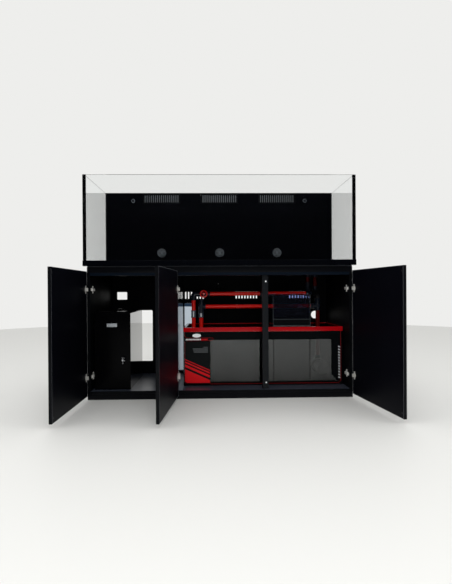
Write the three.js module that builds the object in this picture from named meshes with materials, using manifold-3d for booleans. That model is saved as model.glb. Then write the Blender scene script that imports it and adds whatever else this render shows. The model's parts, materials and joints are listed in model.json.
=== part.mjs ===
// Glass aquarium with a weir wall, on a black laminate cabinet that holds a sump, its red
// pipework and a top-up reservoir.
// Millimetres, +Z up. The origin is on the floor at the middle of the cabinet, and the front
// faces -Y. The doors stand open, as far as the angles below say.
import * as THREE from 'three';
import { mergeVertices } from 'three/addons/utils/BufferGeometryUtils.js';
import Module from 'manifold-3d';

const wasm = await Module();
wasm.setup();

// ---------------------------------------------------------------- driving dimensions (mm)
// Cabinet: board carcass on a plinth. Its width and depth follow the tank's.
const cabinetInset = 20;           // cabinet's sides and front in from the tank's faces
const cabinetHeight = 876;
const board = 19;                  // carcass boards and doors
const topBoard = 38;               // the board that carries the tank
const plinthHeight = 38;
const plinthBoard = 30;
const backBoard = 16;
const backInset = 19;              // back board in from the rear edge of the sides
const railDepth = 80;              // front rail, laid flat under the top board
const seamOffset = 300;            // bay seams, left and right of the middle
const postWidth = 40;
const postDepth = 40;
const postSetback = 22;            // post behind the cabinet's front plane
const strutWidth = 22;

// Doors and their cup hinges.
const doorBottom = 23;
const doorTopGap = 28;             // from the cabinet's top face down to the doors
const doorGap = 2;                 // between a closed door and the carcass
const doorEdge = 1.5;              // door edge inside the cabinet's side face, or off a seam
const sharedSeam = 6;              // gap between the two doors that meet at the divider
const seamShift = 1;               // that gap's middle, left of the divider's
const leftOpenAngle = 91;          // degrees open at rest
const middleOpenAngle = 94.5;
const rightOpenAngle = 98.7;
const dividerPivotIn = 6;          // middle door's axis, in from the door's edge
const dividerPivotFront = 12;      // and in front of the cabinet's front plane
const hingeFromTop = 120;          // hinge cups from the door's top and bottom edges
const hingeFromBottom = 127;
const cupRadius = 17.5;
const cupDepth = 11.5;
const cupSetback = 24;             // cup centre from the door's hinged edge
const cupFlange = 1.2;
const knuckle = { along: 13, deep: 16, tall: 26 };
const cupWing = 26;                // half the height of a cup's fixing flange

// Aquarium.
const tankWidth = 1800;
const tankDepth = 650;
const tankHeight = 600;
const tankGlass = 15;
const matThickness = 6;
const matInset = 2;                // mat in from the cabinet's edges
const sealThickness = 2;
const sealBead = 6;
const trimHeight = 37;
const trimThickness = 2;
const chamberDepth = 89;           // between the weir wall and the rear pane
const weirThickness = 10;
const weirSpacing = 452;           // between the three overflow combs and strainers
const combWidth = 290;
const combHeight = 74;
const combCentreDrop = 45;         // comb centre below the top edge of the tank
const combSlots = 17;
const combPitch = 16;
const combSlotWidth = 8;
const combSlotHeight = 57;
const strainerRadius = 37.5;
const strainerThickness = 9;
const strainerDrop = 470;          // strainer centre below the top edge
const strainerBars = 5;
const strainerRing = 8;            // plain ring round the strainer's bars
const strainerChamfer = 4;
const drainHole = 27.5;            // hole through the weir wall behind a strainer
const nozzleInset = 228;           // nozzles in from the tank's sides
const nozzleDrop = 62;             // nozzle centre below the top edge
const nozzleBall = 10.5;
const nozzleSpout = 8;
const nozzleReach = 24;
const nozzleBore = 5;
const nozzleTaper = 1.5;
const seatWall = 4;
const seatFlange = 3;              // seat's flange, proud of the weir wall
const seatLip = 2;

// Pipework.
const pipeRadius = 15;
const socketWall = 7;              // sockets, elbows and tees over the pipe
const returnRadius = 12.5;         // pipes inside the overflow chamber
const bulkheadRadius = 27;
const bulkheadFlange = 8;
const shankLength = 18;            // bulkhead below the top board
const standpipeWall = 3;
const standpipeExtra = 6;          // standpipe's radius over the return pipes'
const standpipeOpen = 60;          // depth of the standpipe's open mouth
const manifoldEnd = 20;            // manifold past its outer fittings
const drainInset = 196;            // bulkheads in from the tank's right side
const returnInset = 136;
const chamberInset = 45;           // pipes in the chamber, in front of the rear pane
const runInset = 50;               // plane of the two cross runs, in front of the sump's rear
const drainBend = 34;
const dropBend = 26;
const elbowDrop = 48;              // drain elbow's lower end below the run
const hoseBend = 24;
const upperRun = 692;              // heights of the cross runs
const lowerRun = 594;
const pipeAX = -204;               // drain drop
const pipeBX = -146;               // feed drop
const valveX = -124;
const unionHeight = 545;
const pipeEnd = 418;               // open ends above the filter tray
const wheelRadius = 29;
const wheelReach = 62;             // handwheel in front of the run
const wheelRim = 5;                // radius of the handwheel's rim section
const spoke = { wide: 7, deep: 5 };
const wheelHub = { radius: 9, half: 6 };
const bonnet = { rear: 17, front: 13, short: 12 };
const stem = { past: 8, length: 30 };
const union = { half: 22, nut: 6, low: -10, high: 12, slope: 2 };
const pumpOffset = 7;              // pump left of the return bulkhead
const pumpHeight = 150;
const pumpAxis = 70;               // motor's axis above the sump's bottom
const motor = { radius: 46, length: 140, front: 175 };
const volute = { radius: 56, length: 62, front: 37 };
const pumpFoot = { half: 44, tall: 40, front: 165, rear: 5 };
const feedTee = { below: 50, tall: 105, branch: 36 };
const hoseDrop = 62;               // straight hose below its red stub
const hoseLead = 50;               // straight hose above the tee
const valveHalf = 24;
const stemRadius = 4;
const teeHalf = 34;
const seatDepth = 24;              // nozzle seats behind the weir wall's face
const standpipeDrop = 95;          // top of the standpipe below the tank's top edge
const hoseStart = 752;             // top of the flexible return hose

// Sump.
const sumpLeft = -257;
const sumpInset = 10;              // sump from the inside of the cabinet's right side
const sumpFront = 130;             // sump glass behind the cabinet's front plane
const sumpBehind = 120;            // and in front of its rear plane
const sumpHeight = 400;
const sumpGlass = 8;
const rimHeight = 30;
const rimProud = 3;
const rimCap = 4;
const rimInside = 16;
const trayX = -71;                 // baffle at the right of the filter chamber
const refillInset = 225;           // raised clear box from the sump's right end
const refillWidth = 260;
const refillHeight = 228;
const refillBehind = 91;           // and in front of the sump's rear
const shelfPast = 8;               // its shelf past its sides
const refillProud = 1;             // box in front of the sump's glass
const leftBaffle = { low: 0, high: 330 };
const rightBaffle = { low: 40, high: 380 };
const acrylic = 6;
const trayHeight = 320;            // filter tray above the sump's base
const trayDepth = 190;
const cupOuter = 52;
const cupLength = 150;
const cupWall = 3;
const cupTaper = 12;
const cupCollar = { past: 8, tall: 5 };

// Top-up reservoir in the left bay.
const reservoirLeft = 15;          // from the inside of the cabinet's left side
const reservoirWidth = 240;
const reservoirSetback = 45;
const reservoirBehind = 100;       // reservoir in front of the back board
const reservoirHeight = 513;
const reservoirWall = 5;
const lidThickness = 6;
const lidLip = 10;
const tapHeight = 200;             // tap above the cabinet's floor board
const lidRim = 4;
const knob = { low: 14, high: 17, tall: 15 };
const tapInset = 48;               // tap from the reservoir's right side
const tapBody = { radius: 8, reach: 26, flange: 13, flangeDeep: 4, thread: 7, nut: 4 };
const tapSpout = { out: 20, radius: 6, drop: 26, bore: 4, deep: 16 };
const tapNeck = { radius: 6.5, tall: 12 };
const lever = { hub: 7, tall: 7, half: 4, past: 21, low: 2, thick: 4 };

// Openings in the back board.
const ventSlots = 8;
const ventPitch = 23.3;
const ventSlotWidth = 11;
const ventSlotHeight = 57;
const ventHeight = 680;
const ventCentres = [-216, 214, 646];
const smallWindow = { in: 38, width: 81, bottom: 649, top: 709, radius: 5 };
const tallWindow = { in: 161, width: 160, bottom: 155, top: 563, radius: 9 };
const serviceWindow = { in: 5.5, width: 71, bottom: 80, top: 618, radius: 9 };
const roundHole = { in: 93, height: 518, radius: 31 };

// Clearances.
const clearance = 0.3;             // between touching pieces of turned or round parts
const insertGap = 0.5;             // around an insert in its cut-out
const overcut = 1;                 // cutters past the faces that they cut

const ROUND = 24;                  // facets of a full circle on ordinary round pieces
const SMALL = 12;

// ---------------------------------------------------------------- derived places
const cabinetWidth = tankWidth - 2 * cabinetInset;
const cabinetDepth = tankDepth - cabinetInset;
const frontY = -cabinetDepth / 2;
const backY = cabinetDepth / 2;
const sideX = cabinetWidth / 2;
const floorZ = plinthHeight + board;
const underTop = cabinetHeight - topBoard;
const backInner = backY - backInset - backBoard;
const doorTop = cabinetHeight - doorTopGap;
const tankZ = cabinetHeight + matThickness;
const tankTop = tankZ + tankHeight;
const tankFloor = tankZ + tankGlass;
const tankX = tankWidth / 2;
const tankBack = backY;
const tankFront = tankBack - tankDepth;
const weirY = tankBack - tankGlass - chamberDepth - weirThickness;
const nozzleOffset = tankX - nozzleInset;
const pipeGrip = pipeRadius + socketWall;
const shankBottom = underTop - shankLength;
const drainX = tankX - drainInset;
const returnX = tankX - returnInset;
const pumpX = returnX - pumpOffset;
const chamberY = tankBack - tankGlass - chamberInset;
const elbowEnd = upperRun - elbowDrop;
const sumpRight = sideX - board - sumpInset;
const sumpY0 = frontY + sumpFront;
const sumpY1 = backY - sumpBehind;
const runY = sumpY1 - runInset;
const refillRight = sumpRight - refillInset;
const refillLeft = refillRight - refillWidth;
const sumpTop = floorZ + sumpHeight;
const sumpBase = floorZ + sumpGlass;

// ---------------------------------------------------------------- finishes
const finish = (color, roughness, metalness = 0, opacity = 1) => new THREE.MeshStandardMaterial({
  color, roughness, metalness, opacity, transparent: opacity < 1,
});
const finishes = {
  laminate: () => finish(0x0b0b0c, 0.4),
  glass: () => finish(0xd8e8e4, 0.03, 0, 0.3),
  acrylic: () => finish(0xcfe2ee, 0.05, 0, 0.35),
  blackSheet: () => finish(0x060708, 0.15),
  silicone: () => finish(0x050505, 0.5),
  foam: () => finish(0xb9bcbc, 0.9),
  comb: () => finish(0x1b1d20, 0.35),
  greyPlastic: () => finish(0x6d7274, 0.5),
  blackPlastic: () => finish(0x111214, 0.4),
  redPipe: () => finish(0xc2160f, 0.25),
  redRim: () => finish(0x8a0710, 0.2),
  steel: () => finish(0xb8bbbd, 0.3, 1),
  felt: () => finish(0xe6e6e0, 0.95),
};

// ---------------------------------------------------------------- shape helpers
function toSolid(geometry) {
  const bare = geometry.clone();
  bare.deleteAttribute('normal');
  bare.deleteAttribute('uv');
  const welded = mergeVertices(bare, 1e-4);
  return new wasm.Manifold(new wasm.Mesh({
    numProp: 3,
    vertProperties: new Float32Array(welded.attributes.position.array),
    triVerts: new Uint32Array(welded.index.array),
  }));
}

function toGeometry(solid) {
  const mesh = solid.getMesh();
  const geometry = new THREE.BufferGeometry();
  geometry.setAttribute('position', new THREE.BufferAttribute(new Float32Array(mesh.vertProperties), 3));
  geometry.setIndex(new THREE.BufferAttribute(new Uint32Array(mesh.triVerts), 1));
  geometry.computeVertexNormals();
  return geometry;
}

// A block between two corners. Its corners take the numbers as given, so that two blocks that
// share a face share it exactly.
function block(x0, x1, y0, y1, z0, z1) {
  const box = new THREE.BoxGeometry(1, 1, 1);
  const corners = box.attributes.position;
  for (let i = 0; i < corners.count; i += 1) {
    corners.setX(i, corners.getX(i) < 0 ? x0 : x1);
    corners.setY(i, corners.getY(i) < 0 ? y0 : y1);
    corners.setZ(i, corners.getZ(i) < 0 ? z0 : z1);
  }
  return box;
}

// A cylinder or cone along X, Y or Z, from one end's centre, with a length.
function rod(axis, [x, y, z], length, radius, segments = ROUND, endRadius = radius) {
  const shape = new THREE.CylinderGeometry(endRadius, radius, length, segments);
  shape.translate(0, length / 2, 0);
  if (axis === 'x') shape.rotateZ(-Math.PI / 2);
  if (axis === 'z') shape.rotateX(Math.PI / 2);
  shape.translate(x, y, z);
  return shape;
}

// A turned solid about an axis through a centre; the profile is [radius, height along the axis].
function turned(axis, [x, y, z], profile, segments = ROUND) {
  const points = profile.map(([radius, height]) => new THREE.Vector2(radius, height));
  const shape = new THREE.LatheGeometry(points, segments);
  if (axis === 'x') shape.rotateZ(-Math.PI / 2);
  if (axis === 'z') shape.rotateX(Math.PI / 2);
  shape.translate(x, y, z);
  return shape;
}

// A round bar along a path of straight stretches joined by rounded corners.
function bentBar(points, radius, bend, segments = SMALL) {
  const corners = points.map((point) => new THREE.Vector3(...point));
  const path = new THREE.CurvePath();
  let start = corners[0];
  for (let i = 1; i < corners.length - 1; i += 1) {
    const into = corners[i].clone().sub(corners[i - 1]).normalize();
    const out = corners[i + 1].clone().sub(corners[i]).normalize();
    const a = corners[i].clone().addScaledVector(into, -bend);
    const b = corners[i].clone().addScaledVector(out, bend);
    path.add(new THREE.LineCurve3(start, a));
    path.add(new THREE.QuadraticBezierCurve3(a, corners[i], b));
    start = b;
  }
  path.add(new THREE.LineCurve3(start, corners[corners.length - 1]));
  const section = new THREE.Shape();
  section.absarc(0, 0, radius, 0, Math.PI * 2);
  const steps = 9 * (corners.length - 1);
  return new THREE.ExtrudeGeometry(section, {
    extrudePath: path, steps, bevelEnabled: false, curveSegments: segments / 2,
  });
}

function join(first, ...others) {
  return toGeometry(others.reduce((sum, other) => sum.add(toSolid(other)), toSolid(first)));
}

function cut(first, ...others) {
  return toGeometry(others.reduce((rest, other) => rest.subtract(toSolid(other)), toSolid(first)));
}

// An upright slot with round ends, cut through a board from y0 to y1.
function slotCutter(x, z, width, height, y0, y1, segments = SMALL) {
  const outline = new THREE.Shape();
  const radius = width / 2;
  const straight = height / 2 - radius;
  outline.absarc(0, straight, radius, 0, Math.PI);
  outline.absarc(0, -straight, radius, Math.PI, 2 * Math.PI);
  outline.closePath();
  const shape = new THREE.ExtrudeGeometry(outline, {
    depth: y1 - y0, bevelEnabled: false, curveSegments: segments / 2,
  });
  shape.rotateX(Math.PI / 2);
  shape.translate(x, y1, z);
  return shape;
}

// A rectangle with rounded corners, cut through a board from y0 to y1.
function windowCutter(x0, x1, z0, z1, radius, y0, y1) {
  const outline = new THREE.Shape();
  outline.absarc(x1 - radius, z1 - radius, radius, 0, Math.PI / 2);
  outline.absarc(x0 + radius, z1 - radius, radius, Math.PI / 2, Math.PI);
  outline.absarc(x0 + radius, z0 + radius, radius, Math.PI, 1.5 * Math.PI);
  outline.absarc(x1 - radius, z0 + radius, radius, 1.5 * Math.PI, 2 * Math.PI);
  outline.closePath();
  const shape = new THREE.ExtrudeGeometry(outline, {
    depth: y1 - y0, bevelEnabled: false, curveSegments: 4,
  });
  shape.rotateX(Math.PI / 2);
  shape.translate(0, y1, 0);
  return shape;
}

const aquarium = new THREE.Group();

function piece(name, makeFinish, geometry, parent = aquarium) {
  const mesh = new THREE.Mesh(geometry, makeFinish());
  mesh.name = name;
  parent.add(mesh);
}

// ---------------------------------------------------------------- cabinet carcass
function addCarcass() {
  const { laminate } = finishes;
  const innerX = sideX - board;
  const middle = plinthBoard / 2;
  const inside = sideX - plinthBoard;
  const pocket = (x0, x1, y0, y1) => block(x0, x1, y0, y1, -overcut, plinthHeight + overcut);
  const frontInner = frontY + plinthBoard;
  const rearInner = backY - plinthBoard;
  piece('plinth', laminate, cut(
    block(-sideX, sideX, frontY, backY, 0, plinthHeight),
    pocket(-inside, -middle, frontInner, -middle), pocket(middle, inside, frontInner, -middle),
    pocket(-inside, -middle, middle, rearInner), pocket(middle, inside, middle, rearInner),
  ));
  piece('floor_board', laminate, block(-innerX, innerX, frontY, backY, plinthHeight, floorZ));
  piece('side_left', laminate, block(-sideX, -innerX, frontY, backY, plinthHeight, underTop));
  piece('side_right', laminate, block(innerX, sideX, frontY, backY, plinthHeight, underTop));
  const railBottom = underTop - board;
  piece('front_rail', laminate, block(-innerX, innerX, frontY, frontY + railDepth, railBottom, underTop));
  piece('divider', laminate, cut(
    block(-seamOffset - board / 2, -seamOffset + board / 2, frontY, backInner, floorZ, underTop),
    block(
      -seamOffset - board, -seamOffset + board, frontY - overcut, frontY + railDepth,
      railBottom, underTop + overcut,
    ),
  ));
  const postY = frontY + postSetback;
  const postLeft = seamOffset - postWidth / 2;
  piece('centre_post', laminate, block(
    postLeft, postLeft + postWidth, postY, postY + postDepth, floorZ, railBottom,
  ));
  const strutY = backInner - strutWidth;
  piece('rear_strut', laminate, block(-strutWidth / 2, strutWidth / 2, strutY, backInner, floorZ, underTop));
  const pipeHole = (x) => rod(
    'z', [x, chamberY, underTop - overcut], topBoard + 2 * overcut, pipeGrip + insertGap,
  );
  piece('top_board', laminate, cut(
    block(-sideX, sideX, frontY, backY, underTop, cabinetHeight), pipeHole(drainX), pipeHole(returnX),
  ));
}

function addBackBoard() {
  const innerX = sideX - board;
  const y0 = backInner - overcut;
  const y1 = backInner + backBoard + overcut;
  const vents = ventCentres.flatMap((centre) => Array.from({ length: ventSlots }, (_, i) => slotCutter(
    centre + (i - (ventSlots - 1) / 2) * ventPitch, ventHeight, ventSlotWidth, ventSlotHeight, y0, y1, 6,
  )));
  const opening = (edge, size) => windowCutter(
    edge + size.in, edge + size.in + size.width, size.bottom, size.top, size.radius, y0, y1,
  );
  piece('back_board', finishes.laminate, cut(
    block(-innerX, innerX, backInner, backInner + backBoard, floorZ, underTop),
    ...vents,
    opening(-innerX, smallWindow),
    opening(-innerX, tallWindow),
    opening(-seamOffset + board / 2, serviceWindow),
    rod('y', [innerX - roundHole.in, y0, roundHole.height], y1 - y0, roundHole.radius),
  ));
}

// ---------------------------------------------------------------- doors
// A door is built closed, in a group whose origin is the turning axis, then the group is turned.
// side is -1 for a door hinged at its left edge and +1 at its right edge.
function addDoor(name, hingedEdge, width, [pivotX, pivotY], side, openAngle) {
  const swing = new THREE.Group();
  swing.position.set(pivotX, pivotY, 0);
  swing.rotation.z = THREE.MathUtils.degToRad(side * openAngle);
  aquarium.add(swing);
  const inner = frontY - doorGap - pivotY;
  const edge = hingedEdge - pivotX;
  const far = edge - side * width;
  const cupX = edge - side * cupSetback;
  const heights = [['upper', doorTop - hingeFromTop], ['lower', doorBottom + hingeFromBottom]];
  piece(`${name}_door`, finishes.laminate, cut(
    block(Math.min(edge, far), Math.max(edge, far), inner - board, inner, doorBottom, doorTop),
    ...heights.map(([, z]) => rod(
      'y', [cupX, inner - cupDepth - insertGap, z], cupDepth + insertGap + overcut, cupRadius + clearance,
    )),
  ), swing);
  const knuckleX = cupX - knuckle.along / 2;
  for (const [level, z] of heights) {
    piece(`${name}_hinge_cup_${level}`, finishes.steel, join(
      rod('y', [cupX, inner - cupDepth, z], cupDepth + clearance + cupFlange, cupRadius, ROUND),
      block(
        cupX - cupRadius, cupX + cupRadius, inner + clearance, inner + clearance + cupFlange,
        z - cupWing, z + cupWing,
      ),
      block(
        knuckleX, knuckleX + knuckle.along, inner, inner + knuckle.deep,
        z - knuckle.tall / 2, z + knuckle.tall / 2,
      ),
    ), swing);
  }
}

function addDoors() {
  // The outer doors turn about the corner where the cabinet's side meets the doors' inner faces.
  const outerY = frontY - doorGap;
  const outerEdge = sideX - doorEdge;
  const dividerEdge = -seamOffset + sharedSeam / 2 - seamShift;
  const leftWidth = outerEdge - seamOffset - sharedSeam / 2 - seamShift;
  const rightWidth = outerEdge - seamOffset - doorEdge;
  const middleWidth = seamOffset - doorEdge - dividerEdge;
  const dividerPivot = [dividerEdge + dividerPivotIn, frontY - dividerPivotFront];
  addDoor('left', -outerEdge, leftWidth, [-sideX, outerY], -1, leftOpenAngle);
  addDoor('middle', dividerEdge, middleWidth, dividerPivot, -1, middleOpenAngle);
  addDoor('right', outerEdge, rightWidth, [sideX, outerY], 1, rightOpenAngle);
}

// ---------------------------------------------------------------- aquarium
function addTank() {
  const { glass } = finishes;
  const inside = tankX - tankGlass;
  const rearInner = tankBack - tankGlass;
  const frontInner = tankFront + tankGlass;
  const pipeHole = (x, z, height) => rod(
    'z', [x, chamberY, z - overcut], height + 2 * overcut, pipeGrip + insertGap,
  );
  piece('levelling_mat', finishes.foam, cut(
    block(-sideX + matInset, sideX - matInset, frontY + matInset, backY - matInset, cabinetHeight, tankZ),
    pipeHole(drainX, cabinetHeight, matThickness), pipeHole(returnX, cabinetHeight, matThickness),
  ));
  piece('tank_bottom', glass, cut(
    block(-tankX, tankX, tankFront, tankBack, tankZ, tankFloor),
    pipeHole(drainX, tankZ, tankGlass), pipeHole(returnX, tankZ, tankGlass),
  ));
  piece('tank_front', glass, block(-tankX, tankX, tankFront, frontInner, tankFloor, tankTop));
  piece('tank_rear', glass, block(-tankX, tankX, rearInner, tankBack, tankFloor, tankTop));
  const sideFront = frontInner + sealThickness;
  piece('tank_left', glass, block(-tankX, -inside, sideFront, rearInner, tankFloor, tankTop));
  piece('tank_right', glass, block(inside, tankX, sideFront, rearInner, tankFloor, tankTop));
  for (const [name, side] of [['left', -1], ['right', 1]]) {
    const outline = new THREE.Shape([
      new THREE.Vector2(tankX, frontInner),
      new THREE.Vector2(tankX, sideFront),
      new THREE.Vector2(inside, sideFront),
      new THREE.Vector2(inside, sideFront + sealBead),
      new THREE.Vector2(inside - sealBead, frontInner),
    ].map((point) => point.set(side * point.x, point.y)));
    const seal = new THREE.ExtrudeGeometry(outline, { depth: tankTop - tankFloor, bevelEnabled: false });
    seal.translate(0, 0, tankFloor);
    piece(`corner_seal_${name}`, finishes.silicone, seal);
  }
  piece('base_trim', finishes.blackPlastic, cut(
    block(
      -tankX - trimThickness, tankX + trimThickness, tankFront - trimThickness, tankBack + trimThickness,
      tankZ, tankZ + trimHeight,
    ),
    block(-tankX, tankX, tankFront, tankBack, tankZ - overcut, tankZ + trimHeight + overcut),
  ));
}

function addWeirWall() {
  const inside = tankX - tankGlass;
  const y1 = weirY + weirThickness;
  const combZ = tankTop - combCentreDrop;
  const strainerZ = tankTop - strainerDrop;
  const nozzleZ = tankTop - nozzleDrop;
  const places = [['left', -weirSpacing], ['middle', 0], ['right', weirSpacing]];
  const cutters = places.flatMap(([, x]) => [
    block(
      x - combWidth / 2 - insertGap, x + combWidth / 2 + insertGap, weirY - overcut, y1 + overcut,
      combZ - combHeight / 2 - insertGap, combZ + combHeight / 2 + insertGap,
    ),
    rod('y', [x, weirY - overcut, strainerZ], weirThickness + 2 * overcut, drainHole),
  ]);
  for (const x of [-nozzleOffset, nozzleOffset]) {
    const seatHole = nozzleBall + seatWall + clearance;
    cutters.push(rod('y', [x, weirY - overcut, nozzleZ], weirThickness + 2 * overcut, seatHole));
  }
  piece('weir_wall', finishes.blackSheet, cut(
    block(-inside, inside, weirY, y1, tankFloor, tankTop), ...cutters,
  ));
  for (const [name, x] of places) {
    const slots = Array.from({ length: combSlots }, (_, i) => {
      const slotX = x + (i - (combSlots - 1) / 2) * combPitch;
      return block(
        slotX - combSlotWidth / 2, slotX + combSlotWidth / 2, weirY - overcut, y1 + overcut,
        combZ - combSlotHeight / 2, combZ + combSlotHeight / 2,
      );
    });
    piece(`overflow_comb_${name}`, finishes.comb, cut(
      block(
        x - combWidth / 2, x + combWidth / 2, weirY, y1, combZ - combHeight / 2, combZ + combHeight / 2,
      ), ...slots,
    ));
    const bar = (2 * (strainerRadius - strainerRing)) / (2 * strainerBars - 1);
    const gaps = Array.from({ length: strainerBars - 1 }, (_, i) => {
      const z = strainerZ + (2 * i + 2 - strainerBars) * bar;
      const offset = Math.abs(z - strainerZ) + bar / 2;
      const half = Math.sqrt((strainerRadius - strainerRing + bar / 3) ** 2 - offset ** 2);
      return block(
        x - half, x + half, weirY - strainerThickness - overcut, weirY + overcut, z - bar / 2, z + bar / 2,
      );
    });
    piece(`strainer_${name}`, finishes.greyPlastic, cut(
      turned('y', [x, weirY, strainerZ], [
        [0, -strainerThickness], [strainerRadius - strainerChamfer, -strainerThickness],
        [strainerRadius, strainerChamfer - strainerThickness], [strainerRadius, 0], [0, 0],
      ]), ...gaps,
    ));
  }
}

// Return nozzles: a seat through the weir wall, and a ball with a spout that tilts in it.
function addNozzles() {
  const z = tankTop - nozzleDrop;
  const bore = nozzleBall + clearance;
  const seatOuter = nozzleBall + seatWall;
  const centreY = weirY - seatFlange;
  for (const [name, x] of [['left', -nozzleOffset], ['right', nozzleOffset]]) {
    piece(`nozzle_seat_${name}`, finishes.blackPlastic, turned('y', [x, weirY, z], [
      [bore, -seatFlange], [seatOuter + seatLip, -seatFlange], [seatOuter + seatFlange, 0],
      [seatOuter, 0], [seatOuter, seatDepth], [bore, seatDepth], [bore, -seatFlange],
    ]));
    const ball = new THREE.SphereGeometry(nozzleBall, 16, 12);
    ball.rotateX(Math.PI / 2);
    ball.translate(x, centreY, z);
    const spoutY = centreY - nozzleReach;
    piece(`nozzle_${name}`, finishes.blackPlastic, cut(
      join(ball, rod('y', [x, spoutY, z], nozzleReach, nozzleSpout - nozzleTaper, ROUND, nozzleSpout)),
      rod('y', [x, spoutY - overcut, z], nozzleReach + nozzleBall + 2 * overcut, nozzleBore, SMALL),
    ));
  }
}

// ---------------------------------------------------------------- pipework
function addChamberPipes() {
  const { blackPlastic } = finishes;
  const flangeTop = tankFloor + bulkheadFlange;
  // A bulkhead through the tank's bottom and the top board: a flange in the chamber, a shank below.
  const bulkhead = (x) => turned('z', [x, chamberY, 0], [
    [0, shankBottom], [pipeGrip, shankBottom], [pipeGrip, tankFloor],
    [bulkheadRadius, tankFloor], [bulkheadRadius, flangeTop], [0, flangeTop],
  ]);
  const standTop = tankTop - standpipeDrop;
  const standRadius = returnRadius + standpipeExtra;
  const standStart = flangeTop - overcut;
  piece('drain_standpipe', blackPlastic, cut(
    join(bulkhead(drainX), rod('z', [drainX, chamberY, standStart], standTop - standStart, standRadius, SMALL)),
    rod(
      'z', [drainX, chamberY, standTop - standpipeOpen], standpipeOpen + overcut,
      standRadius - standpipeWall, SMALL,
    ),
  ));
  const manifoldZ = tankTop - nozzleDrop;
  const nozzleBackY = weirY + seatDepth + clearance;
  const manifoldStart = -nozzleOffset - manifoldEnd;
  const branch = (x) => rod('y', [x, nozzleBackY, manifoldZ], chamberY - nozzleBackY, returnRadius, SMALL);
  piece('return_manifold', blackPlastic, join(
    bulkhead(returnX),
    rod(
      'x', [manifoldStart, chamberY, manifoldZ], returnX + manifoldEnd - manifoldStart, returnRadius, SMALL,
    ),
    rod('z', [returnX, chamberY, standStart], manifoldZ - standStart, returnRadius, SMALL),
    branch(-nozzleOffset), branch(nozzleOffset),
  ));
}

function addDrainLine() {
  const { redPipe, blackPlastic } = finishes;
  piece('drain_line', redPipe, bentBar([
    [drainX, chamberY, shankBottom - clearance],
    [drainX, chamberY, upperRun],
    [drainX, runY, upperRun],
    [valveX + valveHalf + clearance, runY, upperRun],
  ], pipeRadius, drainBend));
  const wheelY = runY - wheelReach;
  piece('gate_valve', blackPlastic, join(
    rod('x', [valveX - valveHalf, runY, upperRun], 2 * valveHalf, pipeGrip),
    rod(
      'y', [valveX, wheelY + bonnet.short, upperRun], wheelReach - bonnet.short,
      bonnet.rear, ROUND, bonnet.front,
    ),
    rod('y', [valveX, wheelY - stem.past, upperRun], stem.length, stemRadius, SMALL),
  ));
  // The handwheel is a ring with a hub and three spokes, and turns on the valve's stem.
  const ringRadius = wheelRadius - wheelRim;
  const ring = new THREE.TorusGeometry(ringRadius, wheelRim, 10, ROUND);
  ring.rotateX(Math.PI / 2);
  ring.translate(valveX, wheelY, upperRun);
  const spokes = [0, 1, 2].map((i) => {
    const bar = block(0, ringRadius, -spoke.deep / 2, spoke.deep / 2, -spoke.wide / 2, spoke.wide / 2);
    bar.rotateY(Math.PI / 2 + (i * 2 * Math.PI) / 3);
    bar.translate(valveX, wheelY, upperRun);
    return bar;
  });
  const hubY = wheelY - wheelHub.half;
  piece('handwheel', redPipe, cut(
    join(ring, ...spokes, rod('y', [valveX, hubY, upperRun], 2 * wheelHub.half, wheelHub.radius, SMALL)),
    rod(
      'y', [valveX, hubY - overcut, upperRun], 2 * (wheelHub.half + overcut), stemRadius + clearance, SMALL,
    ),
  ));
  // Elbow, union and open drop in one piece.
  const nut = pipeGrip + union.nut;
  piece('drain_drop', redPipe, join(
    bentBar([
      [valveX - valveHalf - clearance, runY, upperRun], [pipeAX, runY, upperRun], [pipeAX, runY, elbowEnd],
    ], pipeGrip, dropBend),
    rod('z', [pipeAX, runY, pipeEnd], elbowEnd + overcut - pipeEnd, pipeRadius),
    turned('z', [pipeAX, runY, unionHeight], [
      [0, -union.half], [pipeGrip, -union.half], [pipeGrip, union.low], [nut, union.low + union.slope],
      [nut, union.high], [pipeGrip, union.high + union.slope], [pipeGrip, union.half], [0, union.half],
    ]),
  ));
}

function addReturnLine() {
  const { redPipe, blackPlastic } = finishes;
  const teeTop = lowerRun + teeHalf;
  piece('return_hose', blackPlastic, bentBar([
    [returnX, chamberY, shankBottom - clearance],
    [returnX, chamberY, hoseStart - hoseDrop],
    [pumpX, runY, teeTop + hoseLead],
    [pumpX, runY, teeTop + clearance],
  ], pipeRadius, hoseBend));
  const pumpTop = sumpBase + pumpHeight;
  piece('pump_riser', redPipe, join(
    rod('z', [pumpX, runY, pumpTop + clearance], lowerRun - pumpTop, pipeRadius),
    rod('z', [pumpX, runY, lowerRun - teeHalf], 2 * teeHalf, pipeGrip),
    rod('x', [pumpX - teeHalf, runY, lowerRun], teeHalf, pipeGrip),
  ));
  // The feed line runs left from the tee, and drops into the sump through a tee of its own.
  piece('feed_line', redPipe, join(
    rod('x', [pipeBX, runY, lowerRun], pumpX - teeHalf - clearance - pipeBX, pipeRadius),
    rod('z', [pipeBX, runY, lowerRun - feedTee.below], feedTee.tall, pipeGrip),
    rod('x', [pipeBX, runY, lowerRun], feedTee.branch, pipeGrip),
    rod('z', [pipeBX, runY, pipeEnd], lowerRun - pipeEnd, pipeRadius),
  ));
  const pumpZ = sumpBase + pumpAxis;
  piece('return_pump', blackPlastic, join(
    rod('y', [pumpX, runY - motor.front, pumpZ], motor.length, motor.radius),
    rod('y', [pumpX, runY - volute.front, pumpZ], volute.length, volute.radius),
    rod('z', [pumpX, runY, pumpZ], pumpTop - pumpZ, pipeGrip),
    block(
      pumpX - pumpFoot.half, pumpX + pumpFoot.half, runY - pumpFoot.front, runY + pumpFoot.rear,
      sumpBase, sumpBase + pumpFoot.tall,
    ),
  ));
}

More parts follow.
